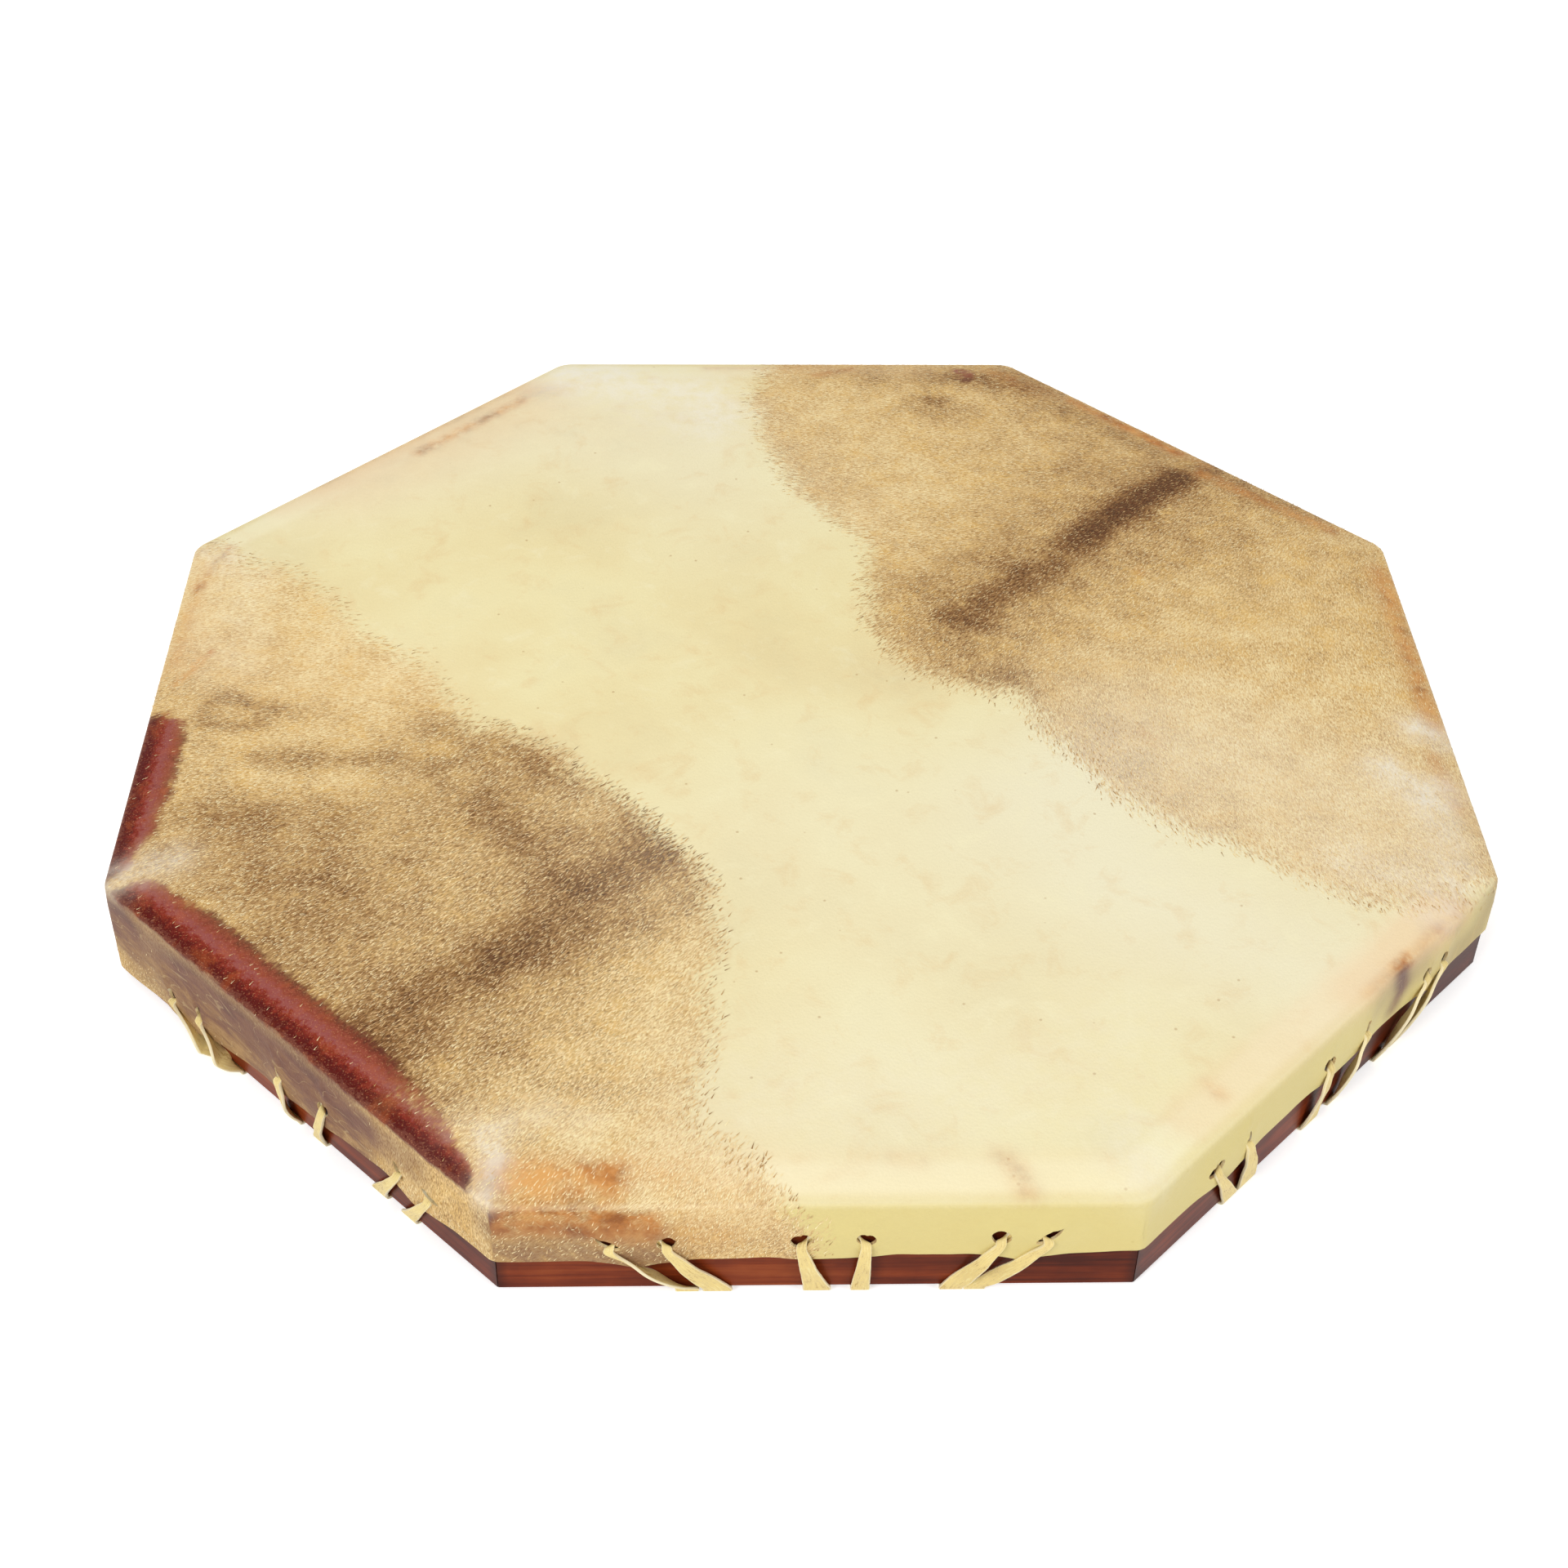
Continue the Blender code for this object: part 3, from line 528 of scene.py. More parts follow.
class StudioSettings(bpy.types.PropertyGroup):
    lens: FloatProperty(
        name="Lens", description="Focal length on a 36 mm wide sensor", default=56.364,
        unit="CAMERA")
    camera_place: FloatVectorProperty(
        name="Camera place", description="Where the camera stands", subtype="TRANSLATION",
        size=3, default=(-28.26 * MM, -682.15 * MM, 593.86 * MM))
    camera_pitch: FloatProperty(
        name="Pitch", description="How far the camera looks down", subtype="ANGLE",
        default=radians(40.971))
    camera_yaw: FloatProperty(
        name="Yaw", description="How far the camera looks to the right", subtype="ANGLE",
        default=radians(1.970))
    camera_roll: FloatProperty(
        name="Roll", description="How far the camera leans", subtype="ANGLE",
        default=radians(1.129))
    overhead_power: FloatProperty(
        name="Overhead power", description="Power of the softbox above the back of the drum",
        subtype="POWER", default=5.5, min=0)
    key_power: FloatProperty(
        name="Key power", description="Power of the softbox at the front left",
        subtype="POWER", default=13.0, min=0)
    fill_power: FloatProperty(
        name="Fill power", description="Power of the softbox at the front right",
        subtype="POWER", default=7.5, min=0)
    sky_strength: FloatProperty(
        name="Sky strength", description="Even light from all round", default=0.49, min=0)


# Places on the drum


def side_azimuth(side):
    return -pi / 2 + side * SIDE_ANGLE


def side_directions(side):
    """Outward and rightward directions of a side, on the floor plan."""
    azimuth = side_azimuth(side)
    return np.array((cos(azimuth), sin(azimuth))), np.array((-sin(azimuth), cos(azimuth)))


def side_point(side, s, n, z):
    outward, rightward = side_directions(side)
    x, y = outward * (APOTHEM + n) + rightward * s
    return Vector((x, y, z))


def skirt_edge(azimuth):
    """Height of the skirt's trimmed edge, which dips towards one corner of the drum and is
    trimmed shorter on one side."""
    away = (azimuth - HIGH_SIDE_ANGLE + pi) % (2 * pi) - pi
    rise = HIGH_SIDE_RISE * exp(-(away / HIGH_SIDE_SPREAD) ** 2)
    away = (azimuth - LOW_CORNER_ANGLE + pi) % (2 * pi) - pi
    dip = SKIRT_HEIGHT - LOW_CORNER_HEIGHT
    close = LOW_CORNER_SHARE * exp(-(away / LOW_CORNER_SPREAD) ** 2)
    broad = (1 - LOW_CORNER_SHARE) * exp(-(away / LOW_SIDE_SPREAD) ** 2)
    return BOARD_BOTTOM + SKIRT_HEIGHT + rise - dip * (close + broad)


def skirt_edge_at(side, s):
    return skirt_edge(side_azimuth(side) + atan(s / APOTHEM))


def hole_height(side, s):
    return skirt_edge_at(side, s) + HOLE_MARGIN


def lace_ends(side):
    """The six lace ends of a side: place of the hole, of the lower edge and of the inner edge."""
    ends = []
    shifts = iter(LACE_SHIFTS[SIDE_LIKENESS[side]])
    for middle, pitch, drift, space in (LEFT_PAIR, MIDDLE_PAIR, RIGHT_PAIR):
        for hand in (-0.5, 0.5):
            hole_shift, edge_shift = (x * MM for x in next(shifts))
            hole = middle + hand * pitch + hole_shift
            edge = middle + drift + hand * (LACE_SPREAD + space) + edge_shift
            gate_middle = (middle + drift) * GATE_SHARE + edge_shift
            gate = gate_middle + hand * (LACE_GATHERED + GATE_SPACE)
            ends.append((hole, edge, gate))
    return ends


# Making objects


def link(made):
    bpy.context.scene.collection.objects.link(made)
    return made


def new_piece(name, mesh, material):
    mesh.name = name
    mesh.materials.clear()
    mesh.materials.append(material)
    return link(bpy.data.objects.new(name, mesh))


def finish_piece(piece, slot, *nodes):
    """A finished piece rides with the drum and stands for the nodes that it replaces."""
    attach(piece, "root")
    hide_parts(*nodes)


def evaluated_mesh(made):
    """The mesh that an object's modifiers give. The object itself is removed."""
    bpy.context.view_layer.update()
    depsgraph = bpy.context.evaluated_depsgraph_get()
    mesh = bpy.data.meshes.new_from_object(
        made.evaluated_get(depsgraph), preserve_all_data_layers=True, depsgraph=depsgraph)
    bpy.data.objects.remove(made)
    return mesh


def as_colour(colour):
    """Linear colour with its alpha, from hex digits or from a colour property."""
    return (*(linear(colour) if isinstance(colour, str) else colour[:3]), 1.0)


def smooth_by_angle(mesh, angle):
    """Smooth shading with sharp edges where faces turn by more than an angle in degrees."""
    mesh.shade_smooth()
    mesh.set_sharp_from_angle(angle=radians(angle))


def set_inputs(tree, node, inputs):
    """Set or link the inputs of a node, given in their order, or by name or number."""
    by_name = inputs if isinstance(inputs, dict) else dict(enumerate(inputs))
    for name, value in by_name.items():
        socket = node.inputs[name]
        if isinstance(value, bpy.types.NodeSocket):
            tree.links.new(value, socket)
        else:
            socket.default_value = as_colour(value) if socket.type == "RGBA" else value


def add_node(tree, kind, inputs=(), out=0, stops=(), **settings):
    """Add a node with its settings, values and links. Returns one of its outputs."""
    made = tree.nodes.new(kind)
    for name, value in settings.items():
        setattr(made, name, value)
    set_inputs(tree, made, inputs)
    if stops:
        ramp = made.color_ramp
        while len(ramp.elements) < len(stops):
            ramp.elements.new(1.0)
        for element, (place, colour) in zip(ramp.elements, stops):
            element.position = place
            element.color = as_colour(colour)
    return made.outputs[out]


def new_material(name):
    """An empty material. Returns it with its tree and its Principled shader."""
    material = bpy.data.materials.new(name)
    material.use_nodes = True
    return material, material.node_tree, material.node_tree.nodes["Principled BSDF"]


def per(length):
    """Scale of a pattern whose features are this long."""
    return 1 / length


# Hide


def distance_to_line(points, line):
    """Distance of each flat place from a line of points."""
    best = np.full(len(points), np.inf)
    corners = np.array(line, float) * MM
    for start, end in zip(corners, corners[1:]):
        along = end - start
        share = np.clip((points - start) @ along / (along @ along), 0, 1)
        gap = np.linalg.norm(points - start - share[:, None] * along, axis=1)
        best = np.minimum(best, gap)
    return best


def inside_outline(points, outline):
    """Distance of each flat place from an outline, positive inside it."""
    corners = np.array(outline, float) * MM
    crossings = np.zeros(len(points), int)
    for (x0, y0), (x1, y1) in zip(corners, np.roll(corners, -1, axis=0)):
        spans = (y0 > points[:, 1]) != (y1 > points[:, 1])
        if y0 != y1:
            crosses = x0 + (points[:, 1] - y0) * (x1 - x0) / (y1 - y0) > points[:, 0]
            crossings += spans & crosses
    gap = distance_to_line(points, (*outline, outline[0]))
    return np.where(crossings % 2 == 1, gap, -gap)


def strokes(points, marks):
    """Sum of soft strokes over the flat hide."""
    total = np.zeros(len(points))
    for line, half_width, strength, *firm in marks:
        gap = distance_to_line(points, line) / (half_width * MM)
        total += strength * np.exp(-gap ** (firm[0] if firm else SOFT_EDGE))
    return total


def lie_of_hair(points):
    """Direction of the hair at each flat place, from the nearest places where it is given."""
    guides = np.array([(x, y) for x, y, angle in HAIR_LIE]) * MM
    ways = np.array([(cos(radians(a)), sin(radians(a))) for x, y, a in HAIR_LIE])
    left = points.sum(axis=1) < 0
    total = np.zeros((len(points), 2))
    for guide, way in zip(guides, ways):
        gap = ((points - guide) ** 2).sum(axis=1) + (8 * MM) ** 2
        same_part = np.where((guide.sum() < 0) == left, 1.0, 1e-6)
        total += (same_part / gap ** 1.5)[:, None] * way
    return total / np.linalg.norm(total, axis=1)[:, None]


class HideSheet:
    """Vertices, faces and facts of the hide while it is put together."""

    def __init__(self):
        self.places = []
        self.faces = []
        self.flat = []
        self.across = []

    def add(self, places, flat, across, faces):
        start = len(self.places)
        self.places += [tuple(place) for place in places]
        self.flat += [tuple(place) for place in flat]
        self.across += list(across)
        self.faces += [[start + index for index in face] for face in faces]


def section_rows():
    """Rows of the hide from the head to the top of the skirt: n, z and the way along the hide."""
    rows = []
    fold_start = pi / 2 - BEVEL_SLOPE
    end_n = FOLD_RADIUS * cos(fold_start)
    end_z = FOLD_CENTRE_Z + FOLD_RADIUS * sin(fold_start)
    for row in range(BEVEL_ROWS + 1):
        share = row / BEVEL_ROWS
        n = BEVEL_START + (end_n - BEVEL_START) * share
        z = HEAD_TOP + (end_z - HEAD_TOP) * share + BEVEL_CROWN * sin(pi * share)
        rows.append((n, z))
    for row in range(1, FOLD_ROWS + 1):
        angle = fold_start * (1 - row / FOLD_ROWS)
        rows.append((FOLD_RADIUS * cos(angle), FOLD_CENTRE_Z + FOLD_RADIUS * sin(angle)))
    way = 0.0
    found = [(*rows[0], way)]
    for (n0, z0), (n1, z1) in zip(rows, rows[1:]):
        way += ((n1 - n0) ** 2 + (z1 - z0) ** 2) ** 0.5
        found.append((n1, z1, way))
    return found


def columns():
    """Places along a side of the hide, with the columns of its two rounded corners."""
    count = round(2 * STRAIGHT / COLUMN_STEP)
    straight = np.linspace(-STRAIGHT, STRAIGHT, count + 1)
    corner = STRAIGHT + CORNER_STEP * np.arange(1, CORNER_COLUMNS + 1)
    return np.concatenate((-corner[::-1], straight, corner))


def hide_place(side, q, n, z):
    """Places on the hide at column q of a side, bent round the corners of the drum."""
    outward, rightward = side_directions(side)
    q, n, z = np.broadcast_arrays(q, n, z)
    share = np.minimum(np.abs(q), STRAIGHT) / STRAIGHT
    turn = np.clip((np.abs(q) - STRAIGHT) / (REACH - STRAIGHT), 0, 1) * HALF_CORNER
    rise = np.clip((z - FOLD_CENTRE_Z + 9 * MM) / (10 * MM), 0, 1)
    radius = CORNER_RADIUS + (FOLD_CORNER_RADIUS - CORNER_RADIUS) * rise ** 2
    half = (APOTHEM + n - radius) * tan(HALF_CORNER)
    s = np.sign(q) * (share * half + radius * np.sin(turn))
    out = APOTHEM + n - radius * (1 - np.cos(turn))
    plan = out[..., None] * outward + s[..., None] * rightward
    return np.concatenate((plan, z[..., None]), axis=-1)


def flat_place(side, places, n, way):
    """The same places on the hide laid out flat. way is counted from the edge of the head."""
    outward, rightward = side_directions(side)
    let_out = np.broadcast_to(way - (n - BEVEL_START), places.shape[:-1])
    return places[..., :2] + let_out[..., None] * outward


def add_head_face(sheet):
    """The flat head: an even scatter of vertices inside the ring where the bevel starts."""
    ring = []
    for side in range(SIDE_COUNT):
        ring += [tuple(p[:2]) for p in hide_place(side, columns()[:-1], BEVEL_START, HEAD_TOP)]
    outline = [(x / MM, y / MM) for x, y in ring]
    points = list(ring)
    reach = APOTHEM / cos(HALF_CORNER)
    row_step = HEAD_STEP * 3 ** 0.5 / 2
    row_count = int(reach / row_step)
    for row in range(-row_count, row_count + 1):
        shift = HEAD_STEP / 2 * (row % 2)
        points += [
            (column * HEAD_STEP + shift, row * row_step)
            for column in range(-int(reach / HEAD_STEP), int(reach / HEAD_STEP) + 1)
        ]
    places = np.array(points)
    inside = inside_outline(places[len(ring):], outline) > 0.7 * HEAD_STEP
    kept = np.concatenate((places[:len(ring)], places[len(ring):][inside]))
    found = delaunay_2d_cdt([Vector(p) for p in kept], [], [], 0, 1e-7)
    plan = np.array([tuple(p) for p in found[0]])
    heights = np.full(len(plan), HEAD_TOP)
    sheet.add(np.column_stack((plan, heights)), plan, np.zeros(len(plan)), found[2])


def add_bevel(sheet, side, rows):
    """Bevel and fold of a side, as a plain grid."""
    q = columns()
    for (n0, z0, way0), (n1, z1, way1) in zip(rows, rows[1:]):
        inner, outer = hide_place(side, q, n0, z0), hide_place(side, q, n1, z1)
        places = np.concatenate((inner, outer))
        flat = np.concatenate((flat_place(side, inner, n0, way0), flat_place(side, outer, n1, way1)))
        across = [way0] * len(q) + [way1] * len(q)
        faces = [(i, len(q) + i, len(q) + i + 1, i + 1) for i in range(len(q) - 1)]
        sheet.add(places, flat, across, faces)


def trimmed_edge(side, q):
    """Height of the free edge of the skirt at column q, with the tongues between the holes."""
    azimuth = side_azimuth(side) + atan(q / APOTHEM)
    height = skirt_edge(azimuth)
    for pair in (LEFT_PAIR, RIGHT_PAIR):
        away = (q - pair[0]) / TONGUE_SPREAD
        height -= TONGUE_DROP * exp(-away * away)
    waver = noise.noise(Vector((azimuth * 9, 3.1, 0)))
    waver += 0.4 * noise.noise(Vector((azimuth * 31, 7.7, 0)))
    return height + EDGE_WAVER * waver * (1 - (abs(q) / REACH) ** 8)


def hole_outline(side, end, hole):
    """Points round a lace hole, pulled out of round by its lace."""
    stretch, narrow, lean = HOLE_FORMS[SIDE_LIKENESS[side]][end]
    lean = radians(lean)
    height = hole_height(side, hole)
    points = []
    for step in range(HOLE_POINTS):
        turn = 2 * pi * step / HOLE_POINTS
        place = Vector((3 * cos(turn) + 11 * end, 3 * sin(turn), 5.0 * side))
        nick = 1 + HOLE_NICK * noise.noise(place)
        a = HOLE_RADIUS * stretch * cos(turn) * nick
        b = HOLE_RADIUS * narrow * sin(turn) * nick
        points.append((
            hole + a * cos(lean) - b * sin(lean), height + a * sin(lean) + b * cos(lean)))
    return points


def skirt_stand_off(side, q, z, edge_z, waver):
    """How far the outer face of the skirt stands from the boards."""
    free = np.clip((FOLD_CENTRE_Z - z) / (FOLD_CENTRE_Z - edge_z), 0, 1.2)
    n = np.full(len(q), TIGHT_SKIRT)
    ends = lace_ends(side)
    for pair in range(3):
        left, right = ends[2 * pair][0], ends[2 * pair + 1][0]
        height = (hole_height(side, left) + hole_height(side, right)) / 2
        beyond = np.maximum(np.maximum(left - q, q - right), 0)
        beside = np.exp(-(beyond / BULGE_REACH) ** 2)
        above = np.exp(-(np.maximum(z - height, 0) / BULGE_REACH) ** 2)
        below = np.exp(-(np.maximum(height - z, 0) / BULGE_REACH_BELOW) ** 2)
        n = np.maximum(n, TIGHT_SKIRT + LACE_BULGE * beside * above * below)
    for hole, edge, gate in ends:
        height = hole_height(side, hole)
        pull = Vector((edge - hole, -height)).normalized()
        along = (q - hole) * pull.x + (z - height) * pull.y
        aside = -(q - hole) * pull.y + (z - height) * pull.x
        for form_height, place, length, width in (HOLE_LIP, HOLE_HOLLOW):
            n = n + form_height * np.exp(-((along - place) / length) ** 2 - (aside / width) ** 2)
        back = -along - PUCKER_START
        away = np.exp(-((back - PUCKER_PLACE) / PUCKER_LENGTH) ** 2)
        for fan in PUCKER_FANS:
            off = aside - fan * np.maximum(back, 0)
            n = n + PUCKER_HEIGHT * np.exp(-(off / PUCKER_WIDTH) ** 2) * away
    swell = np.array([
        noise.noise(Vector((a * 55, b * 70, 2.0 + side))) for a, b in zip(q, z)
    ])
    n = n + waver * free * (0.35 + swell)
    return np.maximum(n, TIGHT_SKIRT)


def add_skirt(sheet, side, way_to_skirt, waver):
    """Skirt of a side: a grid between the fold and the trimmed edge, with the lace holes."""
    q_all = columns()
    edge = [trimmed_edge(side, q) for q in q_all]
    points = []
    fixed = []
    for row in range(SKIRT_ROWS + 1):
        share = row / SKIRT_ROWS
        for index, q in enumerate(q_all):
            points.append((q, FOLD_CENTRE_Z + (edge[index] - FOLD_CENTRE_Z) * share))
            fixed.append(row in (0, SKIRT_ROWS) or index in (0, len(q_all) - 1))
    places = np.array(points)
    keep = np.ones(len(places), bool)
    outlines = []
    for end, (hole, edge_place, gate) in enumerate(lace_ends(side)):
        outline = hole_outline(side, end, hole)
        outlines.append(outline)
        gap = inside_outline(places, [(a / MM, b / MM) for a, b in outline])
        keep &= (gap < -0.45 * MM) | np.array(fixed)
    width = len(q_all)
    kept = [Vector(p) for p in places[keep]]
    order = np.cumsum(keep) - 1
    first_low = SKIRT_ROWS * width
    bounds = [(int(order[first_low + i]), int(order[first_low + i + 1])) for i in range(width - 1)]
    for outline in outlines:
        start = len(kept)
        kept += [Vector(p) for p in outline]
        bounds += [(start + i, start + (i + 1) % HOLE_POINTS) for i in range(HOLE_POINTS)]
    found = delaunay_2d_cdt(kept, bounds, [], 0, 1e-7)
    flat_points = np.array([tuple(p) for p in found[0]])
    faces = []
    for face in found[2]:
        middle = flat_points[list(face)].mean(axis=0)
        if middle[1] > np.interp(middle[0], q_all, edge):
            faces.append(face)
    middles = np.array([flat_points[list(face)].mean(axis=0) for face in faces])
    solid = np.ones(len(faces), bool)
    for outline in outlines:
        solid &= inside_outline(middles, [(a / MM, b / MM) for a, b in outline]) < 0
    faces = [face for face, kept_face in zip(faces, solid) if kept_face]
    q, z = flat_points.T
    edge_z = np.interp(q, q_all, edge)
    n = skirt_stand_off(side, q, z, edge_z, waver)
    at_fold = np.clip((FOLD_CENTRE_Z - z) / (4 * MM), 0, 1)
    at_corner = np.clip((REACH - np.abs(q)) / (4 * MM), 0, 1)
    hold = np.minimum(at_fold, 1) * (3 * at_corner ** 2 - 2 * at_corner ** 3)
    n = TIGHT_SKIRT + (n - TIGHT_SKIRT) * hold
    way = way_to_skirt + FOLD_CENTRE_Z - z
    places = hide_place(side, q, n, z)
    sheet.add(places, flat_place(side, places, n, way), way, faces)


def set_attribute(mesh, name, values, kind="FLOAT"):
    layer = mesh.attributes.new(name, kind, "POINT")
    channel = "vector" if kind == "FLOAT_VECTOR" else "value"
    layer.data.foreach_set(channel, np.asarray(values, np.float32).ravel())


def get_attribute(mesh, name):
    values = np.zeros(len(mesh.vertices), np.float32)
    mesh.attributes[name].data.foreach_get("value", values)
    return values


def build_hide(sizes):
    """The outer face of the hide as one welded mesh, with the facts that its finish reads."""
    sheet = HideSheet()
    rows = section_rows()
    add_head_face(sheet)
    for side in range(SIDE_COUNT):
        add_bevel(sheet, side, rows)
        add_skirt(sheet, side, rows[-1][2], sizes.skirt_waver)
    mesh = bpy.data.meshes.new("hide sheet")
    mesh.from_pydata(sheet.places, [], sheet.faces)
    flat = np.array(sheet.flat)
    set_attribute(mesh, "flat_x", flat[:, 0])
    set_attribute(mesh, "flat_y", flat[:, 1])
    set_attribute(mesh, "across", sheet.across)
    bm = bmesh.new()
    bm.from_mesh(mesh)
    bmesh.ops.remove_doubles(bm, verts=bm.verts, dist=0.02 * MM)
    loose = [v for v in bm.verts if not v.link_faces]
    bmesh.ops.delete(bm, geom=loose, context="VERTS")
    bm.to_mesh(mesh)
    bm.free()
    swell_head(mesh, sizes.hide_unevenness)
    mark_hide(mesh)
    return mesh


def swell_head(mesh, height):
    """A slow swell over the flat head, none at its edge."""
    reach = APOTHEM + BEVEL_START
    for vertex in mesh.vertices:
        x, y, z = vertex.co
        out = max(x * cos(side_azimuth(s)) + y * sin(side_azimuth(s)) for s in range(SIDE_COUNT))
        inner = 1 - min(max(out / reach, 0), 1) ** 8
        if out < reach:
            vertex.co.z = z + height * inner * noise.noise(Vector((x * 14, y * 14, 0.5)))


def mark_hide(mesh):
    """Store the hair and the markings of the hide on its vertices."""
    flat = np.column_stack((get_attribute(mesh, "flat_x"), get_attribute(mesh, "flat_y")))
    flat = flat.astype(float)
    across = get_attribute(mesh, "across")
    past_bevel = across / MM - 17
    ragged = np.array([
        3.4 * noise.noise(Vector((x * 80, y * 80, 1.0)))
        + 2.2 * noise.noise(Vector((x * 210, y * 210, 4.0)))
        for x, y in flat
    ])
    hair = np.maximum(inside_outline(flat, LEFT_HAIR), inside_outline(flat, RIGHT_HAIR)) / MM
    hair = np.clip(hair + ragged, -20, 40)
    stain = np.zeros(len(flat))
    for outline in STAINED_HIDE:
        inside = inside_outline(flat, outline) / STAIN_EDGE
        stain = np.maximum(stain, np.clip(0.42 + inside, 0, 1))
    stain = np.clip(stain + strokes(flat, FAINT_STAIN), 0, 1)
    amber, chalk, grime, warmth, dullness = (
        np.clip(strokes(flat, marks), 0, 1)
        for marks in (AMBER_HIDE, PALE_AND_GLARING_HIDE, GRIMY_AND_SHADED_SKIRT, WARM_HIDE, DULL_HIDE))
    grime *= np.clip(past_bevel / 1.5, 0, 1)
    way = lie_of_hair(flat)
    lie = np.degrees(np.arctan2(way[:, 1], way[:, 0])) % 180
    gaps = [np.abs((lie - grain_angle + 90) % 180 - 90) for grain_angle in GRAIN_ANGLES]
    weights = [np.exp(-(gap / GRAIN_BLEND) ** 2) for gap in gaps]
    total = np.sum(weights, axis=0)
    cover = np.clip(hair / 9 + 0.25, 0, 1) * (1 - np.clip(1.9 * stain, 0, 0.985)) * (1 - grime)
    cover *= 1 - 0.35 * np.clip(past_bevel, 0, 1)
    from_thin_coat = distance_to_line(flat, THIN_COAT) / THIN_COAT_SPREAD
    cover *= 1 - 0.62 * np.exp(-from_thin_coat ** 2)
    for name, values in (
            ("hair_depth", hair), ("stain", stain), ("amber", amber), ("chalk", chalk),
            ("grime", grime), ("warmth", warmth), ("dullness", dullness),
            ("coat_tone", np.clip(0.25 + strokes(flat, COAT_TONES), 0, 1)),
            ("cover", cover * (1 - 0.7 * chalk) * (1 - 0.92 * amber)),
            ("fringe", np.exp(-np.clip(hair, 0, 40) / 8))):
        set_attribute(mesh, name, values)
    for name, vectors in (
            ("flat", np.column_stack((flat, np.zeros(len(flat))))),
            ("lie", np.column_stack([weight / total for weight in weights])),
            ("comb", combed_direction(mesh, way, across))):
        set_attribute(mesh, name, vectors, "FLOAT_VECTOR")


def combed_direction(mesh, way, across):
    """The lie of the hair in space: bent down where the hide turns down into the skirt."""
    lie = np.column_stack((way, np.zeros(len(way))))
    on_skirt = np.clip((across - 17.5 * MM) / (3 * MM), 0, 1)
    plan = np.array([v.co[:2] for v in mesh.vertices])
    azimuth = np.arctan2(plan[:, 1], plan[:, 0])
    side = np.round((azimuth + pi / 2) / SIDE_ANGLE) * SIDE_ANGLE - pi / 2
    outward = np.column_stack((np.cos(side), np.sin(side)))
    out_share = (way * outward).sum(axis=1)
    lie[:, :2] -= (on_skirt * out_share)[:, None] * outward
    lie[:, 2] = -on_skirt * out_share
    return lie


# Materials of the hide and its hair


def read_facts(tree, *names):
    """What is stored on the vertices of a piece, by name. Places and directions are vectors."""
    return {
        name: add_node(
            tree, ATTRIBUTE, out="Vector" if name in ("flat", "lie") else "Fac",
            attribute_name=name)
        for name in names
    }


def lay_colours(tree, colour, layers):
    """A colour with others laid over it in their order, each by its own amount."""
    for over, amount in layers:
        colour = add_node(tree, MIX, {0: amount, 6: colour, 7: over}, 2, data_type="RGBA")
    return colour


def roughen(tree, value, texture, amount, stray=0.2):
    """A value raised and lowered by a texture, which strays this far from its middle."""
    rough = add_node(tree, RANGE, (texture, 0.5 - stray, 0.5 + stray, -amount, amount))
    return add_node(tree, MATH, (value, rough), operation="ADD")


def hair_grain(tree, hide, length, width, seed):
    """Fine strokes that follow the lie of the hair, from three directions of grain."""
    lie = add_node(tree, "ShaderNodeSeparateXYZ", (hide["lie"],)).node
    total = 0.0
    for angle, share in zip(GRAIN_ANGLES, lie.outputs):
        combed = add_node(tree, MAPPING, {
            "Vector": hide["flat"], "Rotation": (0, 0, -radians(angle)), "Location": (0, 0, seed)})
        drawn = add_node(tree, MAPPING, {"Vector": combed, "Scale": (width / length, 1.0, 1.0)})
        strands = add_node(tree, NOISE, {
            "Vector": drawn, "Scale": per(width), "Detail": 1.5, "Roughness": 0.6})
        total = add_node(tree, MATH, (strands, share, total), operation="MULTIPLY_ADD")
    return total


def hide_textures(tree):
    """What the colours of the hide are mixed by, by name: stored facts, clouds and strokes."""
    hide = read_facts(
        tree, "flat", "lie", "across", "hair_depth", "coat_tone", "dullness", "warmth", "amber",
        "grime", "stain", "chalk")
    for name, (length, detail, roughness, distortion) in HIDE_CLOUDS.items():
        hide[name] = add_node(tree, NOISE, {
            "Vector": hide["flat"], "Scale": per(length), "Detail": detail,
            "Roughness": roughness, "Distortion": distortion})
    hide["lint"] = hair_grain(tree, hide, LINT_LENGTH, LINT_WIDTH, 0.0)
    hide["tufts"] = hair_grain(tree, hide, TUFT_LENGTH, TUFT_WIDTH, 0.3)
    sideways = add_node(tree, MAPPING, {"Vector": hide["flat"], "Rotation": (0, 0, SMEAR_TURN)})
    drawn_out = add_node(tree, MAPPING, {"Vector": sideways, "Scale": (SMEAR_DRAW, 1.0, 1.0)})
    hide["smears"] = add_node(tree, NOISE, {
        "Vector": drawn_out, "Scale": per(5 * MM), "Detail": 5.0, "Roughness": 0.7,
        "Distortion": 0.4})
    hide["scratches"] = add_node(tree, NOISE, {
        "Vector": drawn_out, "Scale": per(9 * MM), "Detail": 1.0, "Distortion": 1.6})
    return hide


